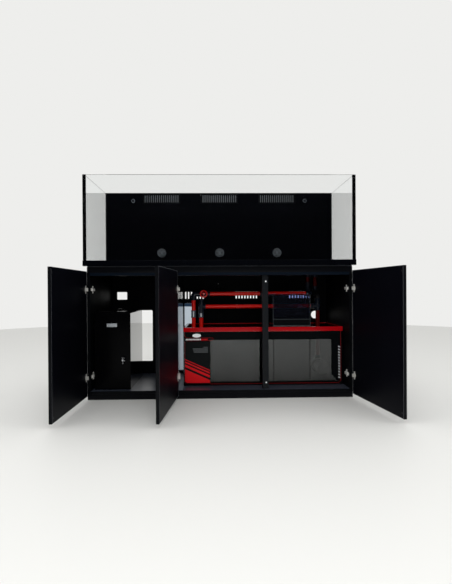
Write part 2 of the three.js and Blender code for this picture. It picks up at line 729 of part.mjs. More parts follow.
// ---------------------------------------------------------------- sump
function addSump() {
  const { glass, redRim, acrylic: clear } = finishes;
  const x0 = sumpLeft;
  const x1 = sumpRight;
  const innerX0 = x0 + sumpGlass;
  const innerX1 = x1 - sumpGlass;
  const innerY0 = sumpY0 + sumpGlass;
  const innerY1 = sumpY1 - sumpGlass;
  piece('sump_tank', glass, cut(
    block(x0, x1, sumpY0, sumpY1, floorZ, sumpTop),
    block(innerX0, innerX1, innerY0, innerY1, sumpBase, sumpTop + overcut),
  ));
  const rimTop = sumpTop + clearance + rimCap;
  piece('sump_rim', redRim, cut(
    block(
      x0 - rimProud, x1 + rimProud, sumpY0 - rimProud, sumpY1 + rimProud, rimTop - rimHeight, rimTop,
    ),
    block(
      x0 - clearance, x1 + clearance, sumpY0 - clearance, sumpY1 + clearance,
      rimTop - rimHeight - overcut, sumpTop + clearance,
    ),
    block(
      x0 + rimInside, x1 - rimInside, sumpY0 + rimInside, sumpY1 - rimInside,
      rimTop - rimHeight - overcut, rimTop + overcut,
    ),
  ));
  const baffle = (name, x, { low, high }) => piece(
    name, clear, block(x, x + acrylic, innerY0, innerY1, sumpBase + low, sumpBase + high),
  );
  baffle('baffle_refill_left', refillLeft, leftBaffle);
  baffle('baffle_refill_right', refillRight - acrylic, rightBaffle);

  // The raised clear box stands on the rim over the chamber between the two right baffles.
  const boxY0 = sumpY0 - refillProud;
  const boxY1 = sumpY1 - refillBehind;
  const boxTop = rimTop + refillHeight;
  piece('refill_box', clear, cut(
    join(
      block(refillLeft, refillRight, boxY0, boxY1, rimTop, boxTop),
      block(
        refillLeft - shelfPast, refillRight + shelfPast, boxY0, sumpY1 + refillProud, rimTop, rimTop + acrylic,
      ),
    ),
    block(
      refillLeft + acrylic, refillRight - acrylic, boxY0 + acrylic, boxY1 - acrylic,
      rimTop + 2 * acrylic, boxTop + overcut,
    ),
  ));

  const trayZ = sumpBase + trayHeight;
  const trayBack = innerY0 + trayDepth;
  const cupX = (innerX0 + trayX) / 2;
  const cupY = innerY0 + trayDepth / 2;
  piece('filter_tray', clear, cut(
    join(
      block(innerX0, trayX + acrylic, innerY0, trayBack, trayZ, trayZ + acrylic),
      block(trayX, trayX + acrylic, innerY0, innerY1, sumpBase, trayZ + acrylic),
    ),
    rod('z', [cupX, cupY, trayZ - overcut], acrylic + 2 * overcut, cupOuter),
  ));
  const top = trayZ + acrylic + clearance;
  const bottom = top - cupLength;
  const outer = cupOuter - 1;
  const inner = outer - cupWall;
  const collarTop = top + cupCollar.tall;
  piece('filter_cup', finishes.felt, turned('z', [cupX, cupY, 0], [
    [0, bottom], [cupOuter - cupTaper, bottom], [outer, bottom + cupTaper],
    [outer, top], [cupOuter + cupCollar.past, top], [cupOuter + cupCollar.past, collarTop],
    [inner, collarTop], [inner, bottom + cupTaper + 1],
    [outer - cupTaper, bottom + cupWall], [0, bottom + cupWall],
  ]));
}

// ---------------------------------------------------------------- reservoir
function addReservoir() {
  const { blackPlastic, steel } = finishes;
  const x0 = -sideX + board + reservoirLeft;
  const x1 = x0 + reservoirWidth;
  const y0 = frontY + reservoirSetback;
  const y1 = backInner - reservoirBehind;
  const top = floorZ + reservoirHeight;
  const wall = reservoirWall;
  const tapX = x1 - tapInset;
  const tapZ = floorZ + tapHeight;
  piece('reservoir_body', finishes.blackSheet, cut(
    block(x0, x1, y0, y1, floorZ, top),
    block(x0 + wall, x1 - wall, y0 + wall, y1 - wall, floorZ + wall, top + overcut),
    rod('y', [tapX, y0 - overcut, tapZ], wall + 2 * overcut, tapBody.thread + clearance, SMALL),
  ));
  const lip = wall + 1;
  const rim = lip + lidRim;
  piece('reservoir_lid', finishes.blackSheet, join(
    block(x0, x1, y0, y1, top, top + lidThickness),
    cut(
      block(x0 + lip, x1 - lip, y0 + lip, y1 - lip, top - lidLip, top + overcut),
      block(x0 + rim, x1 - rim, y0 + rim, y1 - rim, top - lidLip - overcut, top),
    ),
    rod(
      'z', [(x0 + x1) / 2, (y0 + y1) / 2, top + lidThickness - overcut], knob.tall + overcut,
      knob.low, ROUND, knob.high,
    ),
  ));
  const spoutY = y0 - tapSpout.out;
  const spoutZ = tapZ - tapSpout.drop;
  piece('tap_body', steel, cut(
    join(
      rod('y', [tapX, y0 - tapBody.reach, tapZ], tapBody.reach, tapBody.radius, SMALL),
      rod('y', [tapX, y0 - tapBody.flangeDeep, tapZ], tapBody.flangeDeep, tapBody.flange),
      rod('y', [tapX, y0 - overcut, tapZ], wall + tapBody.nut, tapBody.thread, SMALL),
      rod('z', [tapX, spoutY, spoutZ], tapSpout.drop, tapSpout.radius, SMALL),
      rod('z', [tapX, spoutY, tapZ], tapNeck.tall, tapNeck.radius, SMALL),
    ),
    rod('z', [tapX, spoutY, spoutZ - overcut], tapSpout.deep, tapSpout.bore, SMALL),
  ));
  const leverZ = tapZ + tapNeck.tall + clearance;
  piece('tap_lever', steel, join(
    rod('z', [tapX, spoutY, leverZ], lever.tall, lever.hub, SMALL),
    block(
      tapX - lever.half, tapX + lever.half, spoutY - lever.past, spoutY + lever.low,
      leverZ + lever.low, leverZ + lever.low + lever.thick,
    ),
  ));
}

addCarcass();
addBackBoard();
addDoors();
addTank();
addWeirWall();
addNozzles();
addChamberPipes();
addDrainLine();
addReturnLine();
addSump();
addReservoir();

export default aquarium;
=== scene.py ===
"""Looks for a rimless aquarium on a black cabinet with a sump, red pipework and a reservoir.

Shapes are given in millimetres and placed from the frame's nodes. The front faces -Y.
"""

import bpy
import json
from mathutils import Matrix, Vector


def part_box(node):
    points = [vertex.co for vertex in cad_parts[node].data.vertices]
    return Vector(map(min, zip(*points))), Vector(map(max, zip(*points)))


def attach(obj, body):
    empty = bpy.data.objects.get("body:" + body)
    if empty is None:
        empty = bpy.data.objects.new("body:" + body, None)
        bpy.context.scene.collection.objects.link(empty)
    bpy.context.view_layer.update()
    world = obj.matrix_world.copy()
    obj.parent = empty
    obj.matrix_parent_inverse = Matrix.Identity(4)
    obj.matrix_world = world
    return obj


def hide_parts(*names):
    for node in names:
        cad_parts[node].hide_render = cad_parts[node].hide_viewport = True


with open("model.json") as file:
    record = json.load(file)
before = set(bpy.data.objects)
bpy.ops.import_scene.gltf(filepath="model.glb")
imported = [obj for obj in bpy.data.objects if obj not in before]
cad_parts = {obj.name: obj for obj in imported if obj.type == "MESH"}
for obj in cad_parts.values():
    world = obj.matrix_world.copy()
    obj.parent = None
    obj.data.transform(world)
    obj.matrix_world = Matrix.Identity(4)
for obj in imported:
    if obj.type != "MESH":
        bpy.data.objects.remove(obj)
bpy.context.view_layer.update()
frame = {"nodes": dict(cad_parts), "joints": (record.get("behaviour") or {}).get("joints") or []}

import json
import logging
import math
from dataclasses import dataclass, field
from enum import Enum
from typing import Iterable, Sequence

import bmesh
import bpy
from mathutils import Matrix, Vector

log = logging.getLogger("aquarium")

MM = 0.001
SHARP_ANGLE = math.radians(35)
Point = Sequence[float]


# ---------------------------------------------------------------- colour and nodes
def linear(hex_colour: str) -> tuple[float, float, float, float]:
    """Turns an sRGB hex colour into linear RGBA.

    Args:
        hex_colour: six hex digits, with or without a leading #.

    Returns:
        Linear red, green and blue, and an alpha of 1.
    """
    digits = hex_colour.lstrip("#")
    channels = []
    for start in (0, 2, 4):
        value = int(digits[start:start + 2], 16) / 255
        channels.append(value / 12.92 if value <= 0.04045 else ((value + 0.055) / 1.055) ** 2.4)
    return (*channels, 1.0)


def add_node(tree: bpy.types.NodeTree, kind: str, settings: dict | None = None, **links) -> bpy.types.Node:
    """Adds a node with its settings and links.

    Args:
        tree: the node tree.
        kind: the node's type, without the ShaderNode prefix.
        settings: attribute values by name, and socket values under "inputs".
        **links: socket name, with _ for a space, to the output socket it takes.

    Returns:
        The new node.
    """
    node = tree.nodes.new("ShaderNode" + kind)
    for name, value in (settings or {}).items():
        if name == "inputs":
            for socket, number in value.items():
                node.inputs[socket].default_value = number
        else:
            setattr(node, name, value)
    for socket, output in links.items():
        tree.links.new(output, node.inputs[socket.replace("_", " ")])
    return node


class Texture(Enum):
    """How a surface was made, which sets its fine relief."""

    SMOOTH = "smooth"            # cast or polished: no relief, only handling haze
    PRESSED = "pressed"          # laminate pressed against a grained plate
    MOULDED = "moulded"          # injection moulded or extruded plastic
    BRUSHED = "brushed"          # drawn metal with fine lines
    TOOLED = "tooled"            # silicone drawn with a finger
    CELLS = "cells"              # closed-cell foam
    FIBRES = "fibres"            # needled felt


@dataclass(frozen=True)
class Finish:
    """One real material, with its colours and the size of its grain."""

    name: str
    slot: str
    colour: str
    second: str                  # the colour it drifts towards
    roughness: float
    haze: float                  # how far the roughness drifts
    texture: Texture = Texture.SMOOTH
    grain: float = 1.0           # millimetres
    patch: float = 180.0         # size of the drift, in millimetres
    relief: float = 0.0          # bump distance, in millimetres
    metallic: float = 0.0
    ior: float = 1.5
    specular: float = 0.5
    coat: float = 0.0
    transmission: float = 0.0
    stretch: tuple[float, float, float] = (1.0, 1.0, 1.0)

    def material(self) -> bpy.types.Material:
        """Makes the material, or returns the one already made."""
        made = bpy.data.materials.get(self.name)
        if made:
            return made
        material = bpy.data.materials.new(self.name)
        material.use_nodes = True
        tree = material.node_tree
        tree.nodes.clear()
        place = add_node(tree, "TexCoord").outputs["Object"]
        drift = add_node(tree, "TexNoise", {"inputs": {
            "Scale": 1 / (self.patch * MM), "Detail": 4.0, "Roughness": 0.55,
        }}, Vector=place)
        colour = add_node(tree, "Mix", {"data_type": "RGBA"})
        colour.inputs[6].default_value = linear(self.colour)
        colour.inputs[7].default_value = linear(self.second)
        tree.links.new(drift.outputs["Fac"], colour.inputs["Factor"])
        roughness = add_node(tree, "MapRange", {"inputs": {
            "From Min": 0.3, "From Max": 0.7,
            "To Min": max(self.roughness - self.haze, 0.0), "To Max": self.roughness + self.haze,
        }}, Value=drift.outputs["Fac"])
        shader = add_node(tree, "BsdfPrincipled", {"inputs": {
            "Metallic": self.metallic, "IOR": self.ior, "Specular IOR Level": self.specular,
            "Coat Weight": self.coat, "Transmission Weight": self.transmission,
        }}, Base_Color=colour.outputs[2], Roughness=roughness.outputs["Result"])
        height = self.height(tree, place)
        if height is not None:
            bump = add_node(tree, "Bump", {"inputs": {
                "Strength": 0.7, "Distance": self.relief * MM,
            }}, Height=height)
            tree.links.new(bump.outputs["Normal"], shader.inputs["Normal"])
        add_node(tree, "OutputMaterial", Surface=shader.outputs["BSDF"])
        return material

    def height(self, tree: bpy.types.NodeTree, place: bpy.types.NodeSocket) -> bpy.types.NodeSocket | None:
        """Adds the relief that the way of making leaves.

        Args:
            tree: the material's node tree.
            place: the object coordinates.

        Returns:
            The height, or None on a smooth surface.
        """
        if self.texture is Texture.SMOOTH:
            return None
        mapping = add_node(tree, "Mapping", {"inputs": {"Scale": self.stretch}}, Vector=place)
        point = mapping.outputs["Vector"]
        scale = 1 / (self.grain * MM)
        if self.texture is Texture.CELLS:
            cells = add_node(tree, "TexVoronoi", {"inputs": {"Scale": scale}}, Vector=point)
            return cells.outputs["Distance"]
        detail = 8.0 if self.texture is Texture.FIBRES else 3.0
        noise = add_node(tree, "TexNoise", {"inputs": {
            "Scale": scale, "Detail": detail, "Roughness": 0.6,
        }}, Vector=point)
        return noise.outputs["Fac"]


# Melamine laminate on board, pressed against a fine plate: a satin black with a faint blue.
LAMINATE = Finish("black_melamine_pressed", "black_laminate", "#040507", "#06070a", 0.50, 0.05,
                  Texture.PRESSED, grain=2.4, patch=260, relief=0.03, specular=0.05)
# The same laminate lying flat, with the blue-grey sheen it catches from the room painted into its lighter
# colour.
FLOOR_LAMINATE = Finish("black_melamine_floor", "black_laminate", "#2e333d", "#353a45", 0.34, 0.05,
                        Texture.PRESSED, grain=2.4, patch=200, relief=0.03, specular=0.35)
# The front rail's laminate, with a faint blue sheen from the room painted into its colour.
RAIL_LAMINATE = Finish("black_melamine_rail", "black_laminate", "#050b13", "#08111c", 0.40, 0.05,
                       Texture.PRESSED, grain=2.4, patch=260, relief=0.03, specular=0.06)
# The post's laminate, a little lighter than the rail's: a painted sheen from the room.
POST_LAMINATE = Finish("black_melamine_post", "black_laminate", "#0d0f13", "#121519", 0.40, 0.05,
                       Texture.PRESSED, grain=2.4, patch=260, relief=0.03, specular=0.15)
# Board with a smooth lacquered face, as on the doors: deep, clean and nearly mirror-flat.
DOOR_FACE = Finish("black_lacquered_board", "black_laminate", "#040409", "#05060c", 0.42, 0.015,
                   Texture.PRESSED, grain=9.0, patch=420, relief=0.008, specular=0.055)
# The divider's face, polished enough to mirror the opening beside it.
DIVIDER_FACE = Finish("black_polished_board", "black_laminate", "#08090c", "#0b0c11", 0.12, 0.03,
                      patch=320, specular=0.9)
# ABS edge band, extruded and ironed on: a little shinier than the face.
EDGE_BAND = Finish("black_abs_edge_band", "black_laminate", "#07080b", "#0a0b0e", 0.32, 0.05,
                   Texture.MOULDED, grain=4.0, relief=0.03, specular=0.07)
# Pale painted highlight along the inner arris, where the band meets the face.
ARRIS_HIGHLIGHT = Finish("painted_arris_highlight", "black_laminate", "#74777c", "#63666b", 0.35, 0.05, patch=60,
                   specular=0.3)
# Float glass with polished edges: clear, with wiping haze in its gloss.
FLOAT_GLASS = Finish("clear_float_glass", "tank_glass", "#ffffff", "#fcfefe", 0.008, 0.008,
                     patch=140, ior=1.50, transmission=1.0)
# The sump's float glass, faintly grey, so that the wet side reads darker than the room.
SUMP_GLASS = Finish("sump_float_glass", "sump_glass", "#c2c8c8", "#b8c0c0", 0.015, 0.012,
                    patch=120, ior=1.52, transmission=1.0, specular=0.28)
# Cast acrylic: clear with a cold tint.
CLEAR_ACRYLIC = Finish("clear_cast_acrylic", "clear_acrylic", "#ccd3f4", "#c0c8ee", 0.02, 0.015,
                       patch=90, ior=1.49, transmission=0.9965)
# Sawn and polished acrylic edge, with the light it gathers from the sheet behind it painted into its grey
# colour.
ACRYLIC_EDGE = Finish("acrylic_lit_edge", "clear_acrylic", "#4a5056", "#3c4248", 0.30, 0.08, patch=60)
# Extruded black sheet: deep gloss.
BLACK_SHEET = Finish("black_gloss_sheet", "black_acrylic", "#040507", "#07070c", 0.12, 0.04,
                     patch=220, specular=0.1)
# Cast acrylic of the reservoir: a black with hardly any sheen from the front.
RESERVOIR_SHEET = Finish("black_cast_acrylic", "gloss_black_acrylic", "#020203", "#030304", 0.16, 0.04,
                         patch=160, specular=0.04)
# The polished side of the same sheet: at a low angle it works as a mirror.
MIRROR_SHEET = Finish("black_polished_acrylic", "gloss_black_acrylic", "#050506", "#08080a", 0.03, 0.02,
                      patch=160, ior=2.3, specular=0.5)
# Pale grey sheet of the splash guards: painted light that makes the slots of the combs show bright.
GUARD_PAINTED_LIGHT = Finish("pale_guard_painted_light", "black_acrylic", "#a2a8b0", "#8f959d", 0.5, 0.08, patch=120)
# Silicone drawn with a finger: soft, uneven highlights along the joints.
SILICONE = Finish("black_silicone_tooled", "black_silicone", "#050505", "#0a0a0a", 0.38, 0.08,
                  Texture.TOOLED, grain=7.0, relief=0.25, specular=0.35)
# Vinyl trim: a plain black band that closes the bottom of the glass.
TRIM = Finish("black_vinyl_trim", "black_trim", "#020306", "#030408", 0.26, 0.05,
              Texture.MOULDED, grain=5.0, relief=0.04, specular=0.06)
# Closed-cell foam: dull dark grey with a fine open grain at its cut edge.
FOAM = Finish("grey_closed_cell_foam", "foam_mat", "#1c1e22", "#25282d", 0.85, 0.08,
              Texture.CELLS, grain=1.6, relief=0.4)
# Moulded comb: satin black teeth that catch thin lines of light.
COMB = Finish("black_moulded_comb", "comb_plastic", "#08090b", "#0e1013", 0.35, 0.07,
              Texture.MOULDED, grain=2.0, relief=0.08, specular=0.1)
# Moulded grey plastic: the pale bars and rings that stand out on the black wall.
GREY_PLASTIC = Finish("grey_moulded_plastic", "grey_plastic", "#8b9399", "#767e84", 0.42, 0.1,
                      Texture.MOULDED, grain=1.8, relief=0.1)
# Moulded pipe fittings: black, with the room's blue sheen painted into the colour, and broad highlights.
BLACK_PVC = Finish("black_moulded_pvc", "black_plastic", "#0d131c", "#151c28", 0.26, 0.08,
                   Texture.MOULDED, grain=2.5, relief=0.06, specular=0.6)
# Smoked union sleeves: glossy, with a long pale highlight painted down each as a strip.
SLEEVE = Finish("smoked_moulded_pvc", "black_plastic", "#3b434e", "#4a5360", 0.16, 0.06,
                Texture.MOULDED, grain=5.0, relief=0.03, coat=0.6)
# Extruded pressure pipe, solid-coloured: glossy, with faint die lines.
RED_PVC = Finish("red_extruded_pvc", "red_pvc", "#e01a12", "#c8130d", 0.22, 0.07,
                 Texture.MOULDED, grain=6.0, relief=0.04, coat=0.3)
# The same pipe deep in the bay, darkened in its colour: painted shade.
SHADED_RED_PVC = Finish("shaded_red_extruded_pvc", "red_pvc", "#5e0805", "#490504", 0.4, 0.07,
                      Texture.MOULDED, grain=6.0, relief=0.04, specular=0.15)
# Cast acrylic of the sump's rim: a deep red with a clean gloss.
RED_RIM = Finish("dark_red_cast_acrylic", "red_rim", "#a3050e", "#8f050c", 0.16, 0.05,
                 patch=200, coat=0.15)
# Overmoulded pump housing, matt and very dark.
PUMP_PLASTIC = Finish("black_pump_housing", "black_plastic", "#040405", "#060607", 0.5, 0.06,
                      Texture.MOULDED, grain=2.5, relief=0.05, specular=0.06)
# Ribbed hose: matt black with a light line on each rib.
HOSE = Finish("black_ribbed_hose", "black_hose", "#0e0f10", "#17181a", 0.45, 0.1,
              Texture.MOULDED, grain=1.5, relief=0.1)
# Nickelled pressed steel of the hinges: pale, with fine drawn lines.
NICKEL = Finish("nickelled_pressed_steel", "nickelled_steel", "#f2f1ee", "#dddcd8", 0.32, 0.1,
                Texture.BRUSHED, grain=0.8, relief=0.03, metallic=0.65, stretch=(1.0, 14.0, 14.0))
# Polished metal of the tap: a bright grey that mirrors the black round it.
CHROME = Finish("polished_tap_metal", "tap_steel", "#a4a5a8", "#8b8c90", 0.16, 0.06,
                Texture.BRUSHED, grain=1.5, relief=0.01, metallic=1.0)
# Brushed plate: a soft pale patch on the black box.
PLATE_METAL = Finish("brushed_blank_plate", "tap_steel", "#b9bec4", "#a3a8ae", 0.5, 0.08,
                     Texture.BRUSHED, grain=0.9, relief=0.04, metallic=0.4, stretch=(1.0, 14.0, 14.0))
# Needled felt: white, fuzzy and without gloss.
FELT = Finish("white_needled_felt", "filter_felt", "#dcdcd4", "#c3c3ba", 0.95, 0.04,
              Texture.FIBRES, grain=2.2, relief=0.9)
# Black printed film: a flat black round the clear window.
FILM_BLACK = Finish("black_printed_film", "black_trim", "#030506", "#05080a", 0.42, 0.06,
                    patch=90, specular=0.05)
# Dark grey print, a shade lighter than the film round it.
FILM_GREY = Finish("dark_grey_printed_film", "black_trim", "#0c0f10", "#101314", 0.38, 0.05,
                   patch=60, specular=0.06)
# Red print of the stripes: even and satin.
FILM_RED = Finish("red_printed_film", "red_rim", "#c80e16", "#b00b12", 0.36, 0.05, patch=70, specular=0.12)
# Near-white print and paint, the smallest bright marks; on the union sleeves it is a painted highlight.
PALE_PRINT_AND_HIGHLIGHT = Finish("pale_print_and_painted_highlight", "grey_plastic", "#e6e8ea", "#cfd3d6", 0.4, 0.08, patch=40)
# The darker red of the outline, printed as a thin line.
FILM_DEEP_RED = Finish("deep_red_printed_film", "red_rim", "#86080e", "#74060c", 0.36, 0.05,
                       patch=70, specular=0.1)
# Fine grey print, which reads as rows of texture.
FILM_MID = Finish("grey_printed_film", "grey_plastic", "#5a5d5f", "#4c4f51", 0.4, 0.06,
                  patch=40, specular=0.1)
# Frosted film with a cold tint behind the service opening: it glows softly from the room behind.
FROSTED = Finish("frosted_blue_film", "clear_acrylic", "#e6eff8", "#d4e2f2", 0.55, 0.08, patch=300,
                 transmission=0.9)
# The same film darkened where the board above shades it: painted shade, a dim blue.
FROSTED_SHADE = Finish("frosted_blue_film_shaded", "clear_acrylic", "#2e4765", "#223850", 0.6, 0.06,
                       patch=300, transmission=0.9)
# Rubber of the bumpers, lips and seals: black without a highlight.
BUMPER = Finish("black_rubber_bumper", "black_trim", "#050506", "#08080a", 0.4, 0.1, patch=20)


# ---------------------------------------------------------------- shapes
def span(name: str) -> tuple[Vector, Vector]:
    """A node's lowest and highest corners at rest, in millimetres."""
    low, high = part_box(name)
    return Vector(low) / MM, Vector(high) / MM


def middle(name: str) -> Vector:
    """The middle of a node's box, in millimetres."""
    low, high = span(name)
    return (low + high) / 2


def angles(count: int) -> list[float]:
    """Angles of equal steps round a full turn."""
    return [2 * math.pi * step / count for step in range(count)]


def turn_to(axis: str) -> Matrix:
    """The rotation that takes +Z to a named axis, such as x or -y."""
    direction = {"x": (1, 0, 0), "y": (0, 1, 0), "z": (0, 0, 1)}[axis[-1]]
    sign = -1 if axis.startswith("-") else 1
    return (Vector(direction) * sign).to_track_quat("Z", "Y").to_matrix().to_4x4()


class Shape:
    """A mesh under construction, in millimetres, with one or more finishes."""

    def __init__(self, *finishes: Finish) -> None:
        """Starts empty; the first finish is the one in use."""
        self.bm = bmesh.new()
        self.finishes = finishes
        self.index = 0

    def use(self, index: int) -> "Shape":
        """Chooses the finish that the next faces take."""
        self.index = index
        return self

    def _paint(self, faces: Iterable[bmesh.types.BMFace]) -> None:
        """Gives faces the finish in use."""
        for face in faces:
            face.material_index = self.index

    def slab(self, low: Point, high: Point, bevel: float = 1.0, matrix: Matrix | None = None) -> "Shape":
        """Adds a block with rounded edges.

        Args:
            low: lowest corner.
            high: highest corner.
            bevel: radius of its edges; 0 leaves them sharp.
            matrix: an extra move, after the block is made.

        Returns:
            The shape.
        """
        low, high = Vector(low), Vector(high)
        size = high - low
        place = Matrix.Translation((low + high) / 2) @ Matrix.Diagonal((*size, 1))
        made = bmesh.ops.create_cube(self.bm, size=1, matrix=place)
        verts = set(made["verts"])
        if bevel > 0:
            edges = [edge for edge in self.bm.edges if edge.verts[0] in verts and edge.verts[1] in verts]
            result = bmesh.ops.bevel(self.bm, geom=edges, offset=min(bevel, min(size) * 0.45), segments=2,
                                     profile=0.5, affect="EDGES")
            verts = {vert for vert in result["verts"]} | {vert for vert in verts if vert.is_valid}
        if matrix is not None:
            bmesh.ops.transform(self.bm, matrix=matrix, verts=list(verts))
        self._paint({face for vert in verts for face in vert.link_faces})
        return self

    def skin(self, loops: list[list[bmesh.types.BMVert]], closed: bool, caps: bool) -> None:
        """Joins loops of vertices with faces.

        Args:
            loops: loops with the same number of vertices each.
            closed: whether the last loop joins the first.
            caps: whether the first and last loops are filled.
        """
        faces = []
        count = len(loops)
        for index in range(count if closed else count - 1):
            a, b = loops[index], loops[(index + 1) % count]
            size = len(a)
            for step in range(size):
                quad = (a[step], a[(step + 1) % size], b[(step + 1) % size], b[step])
                faces.append(self.bm.faces.new(quad))
        if caps:
            faces.append(self.bm.faces.new(reversed(loops[0])))
            faces.append(self.bm.faces.new(loops[-1]))
        self._paint(faces)

    def turned(self, centre: Point, axis: str, profile: Sequence[tuple[float, float]],
               segments: int = 48, closed: bool = False) -> "Shape":
        """Adds a turned solid.

        Args:
            centre: the point that heights are measured from.
            axis: the axis it turns about.
            profile: radius and height along the axis, from one end to the other.
            segments: facets round it.
            closed: whether the profile closes on itself, as a ring's does.

        Returns:
            The shape.
        """
        place = Matrix.Translation(Vector(centre)) @ turn_to(axis)
        least = 0.02             # a profile that reaches the axis stops just short of it
        loops = []
        for radius, height in profile:
            wide = max(radius, least)
            ring = [Vector((wide * math.cos(angle), wide * math.sin(angle), height))
                    for angle in angles(segments)]
            loops.append([self.bm.verts.new(place @ point) for point in ring])
        self.skin(loops, closed, not closed)
        return self

    def tube(self, points: Sequence[Point], radius: float, bend: float = 0.0, sides: int = 32,
             rib: float = 0.0, pitch: float = 6.0) -> "Shape":
        """Adds a round bar along straight stretches with rounded corners.

        Args:
            points: the corners of its path.
            radius: its outside radius.
            bend: how far before each corner it starts to turn.
            sides: facets round it.
            rib: depth of rings round it, for a flexible hose.
            pitch: spacing of those rings.

        Returns:
            The shape.
        """
        path = rounded_path([Vector(point) for point in points], bend, pitch / 4 if rib else 0.0)
        normal = (path[1] - path[0]).orthogonal().normalized()
        loops = []
        run = 0.0
        for index, point in enumerate(path):
            ahead = path[min(index + 1, len(path) - 1)] - path[max(index - 1, 0)]
            ahead.normalize()
            normal = (normal - ahead * normal.dot(ahead)).normalized()
            side = ahead.cross(normal)
            if index:
                run += (point - path[index - 1]).length
            size = radius - rib * (0.5 - 0.5 * math.cos(2 * math.pi * run / pitch))
            loops.append([
                self.bm.verts.new(point + (normal * math.cos(angle) + side * math.sin(angle)) * size)
                for angle in angles(sides)
            ])
        self.skin(loops, False, True)
        return self

    def upright(self, x: float, y: float, low: float, high: float, radius: float) -> "Shape":
        """Adds an upright round bar.

        Args:
            x: its axis in X.
            y: its axis in Y.
            low: its bottom.
            high: its top.
            radius: its outside radius.

        Returns:
            The shape.
        """
        return self.tube([(x, y, low), (x, y, high)], radius)

    def frame_ring(self, low: Point, high: Point, profile: Sequence[tuple[float, float]],
                   corner: float = 3.0, steps: int = 4) -> "Shape":
        """Adds a rectangular ring with rounded corners.

        Args:
            low: lowest corner of its outside.
            high: highest corner of its outside.
            profile: closed section as inset from the outside and height.
            corner: outside corner radius.
            steps: facets in each corner.

        Returns:
            The shape.
        """
        loops = []
        for inset, height in profile:
            radius = max(corner - inset, 0.05)
            x0, y0, x1, y1 = low[0] + inset, low[1] + inset, high[0] - inset, high[1] - inset
            ring = []
            for cx, cy, start in ((x1 - radius, y1 - radius, 0), (x0 + radius, y1 - radius, 90),
                                  (x0 + radius, y0 + radius, 180), (x1 - radius, y0 + radius, 270)):
                for step in range(steps + 1):
                    angle = math.radians(start + 90 * step / steps)
                    ring.append(self.bm.verts.new((cx + radius * math.cos(angle),
                                                   cy + radius * math.sin(angle), height)))
            loops.append(ring)
        self.skin(loops, True, False)
        return self

    def plate(self, outline: Sequence[tuple[float, float]], y_front: float, y_back: float) -> "Shape":
        """Adds an upright flat plate from its outline in X and Z.

        Args:
            outline: corners of the outline, in order.
            y_front: the plate's front face.
            y_back: its back face.

        Returns:
            The shape.
        """
        front = [self.bm.verts.new((x, y_front, z)) for x, z in outline]
        back = [self.bm.verts.new((x, y_back, z)) for x, z in outline]
        self.skin([front, back], False, True)
        return self

    def panel(self, x: Point, z: Point, y: Point) -> "Shape":
        """Adds an upright rectangular plate.

        Args:
            x: its left and right.
            z: its bottom and top.
            y: its front and back faces.

        Returns:
            The shape.
        """
        return self.plate([(x[0], z[0]), (x[1], z[0]), (x[1], z[1]), (x[0], z[1])], *y)

    def cad(self, name: str, bevel: float = 0.0) -> "Shape":
        """Adds a node's own solid, with its edges rounded.

        Args:
            name: the node.
            bevel: radius of its edges.

        Returns:
            The shape.
        """
        source = frame["nodes"][name]
        part = bmesh.new()
        part.from_mesh(source.data)
        bmesh.ops.transform(part, matrix=Matrix.Scale(1 / MM, 4), verts=part.verts)
        bmesh.ops.remove_doubles(part, verts=part.verts, dist=0.005)
        bmesh.ops.dissolve_limit(part, angle_limit=math.radians(0.5), verts=part.verts, edges=part.edges)
        if bevel:
            edges = [edge for edge in part.edges
                     if len(edge.link_faces) == 2 and edge.calc_face_angle(0) > math.radians(40)]
            bmesh.ops.bevel(part, geom=edges, offset=bevel, segments=2, profile=0.5,
                            affect="EDGES", clamp_overlap=True)
        mesh = bpy.data.meshes.new("part")
        part.to_mesh(mesh)
        part.free()
        before = len(self.bm.faces)
        self.bm.from_mesh(mesh)
        bpy.data.meshes.remove(mesh)
        self.bm.faces.ensure_lookup_table()
        self._paint(self.bm.faces[before:])
        return self

    def piece(self, name: str, body: str, replaces: Sequence[str] = (), matrix: Matrix | None = None,
              smooth: bool = True) -> bpy.types.Object:
        """Turns the shape into a piece that rides on a body.

        Args:
            name: the piece's name.
            body: the body it moves with.
            replaces: nodes that it stands for.
            matrix: a move of the whole shape, in millimetres, before it is scaled.
            smooth: whether round stretches are shaded smooth.

        Returns:
            The new object.
        """
        if matrix is not None:
            bmesh.ops.transform(self.bm, matrix=matrix, verts=self.bm.verts)
        bmesh.ops.recalc_face_normals(self.bm, faces=self.bm.faces)
        bmesh.ops.transform(self.bm, matrix=Matrix.Scale(MM, 4), verts=self.bm.verts)
        mesh = bpy.data.meshes.new(name)
        self.bm.to_mesh(mesh)
        self.bm.free()
        for finish in self.finishes:
            mesh.materials.append(finish.material())
        if smooth:
            mesh.shade_smooth()
            mesh.set_sharp_from_angle(angle=SHARP_ANGLE)
        made = bpy.data.objects.new(name, mesh)
        bpy.context.scene.collection.objects.link(made)
        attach(made, body)
        if replaces:
            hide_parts(*replaces)
        log.info("%s rides on %s, %d faces", name, body, len(mesh.polygons))
        return made


def rounded_path(corners: list[Vector], bend: float, step: float = 0.0) -> list[Vector]:
    """Points along straight stretches joined by rounded corners.

    Args:
        corners: the path's corners.
        bend: how far before each corner the turn starts.
        step: longest spacing of points, or 0 for the corners' own points.

    Returns:
        The points in order.
    """
    turn_points = 10
    path = [corners[0]]
    for before, corner, after in zip(corners, corners[1:], corners[2:]):
        start = corner + (before - corner).normalized() * bend
        end = corner + (after - corner).normalized() * bend
        for index in range(turn_points + 1):
            t = index / turn_points
            path.append(start.lerp(corner, t).lerp(corner.lerp(end, t), t))
    path.append(corners[-1])
    if not step:
        return path
    fine = [path[0]]
    for a, b in zip(path, path[1:]):
        parts = max(1, math.ceil((b - a).length / step))
        fine.extend(a.lerp(b, part / parts) for part in range(1, parts + 1))
    return fine


def dress(name: str, finish: Finish) -> None:
    """Gives a node that keeps its own shape a finish."""
    node = frame["nodes"][name]
    node.data.materials.clear()
    node.data.materials.append(finish.material())


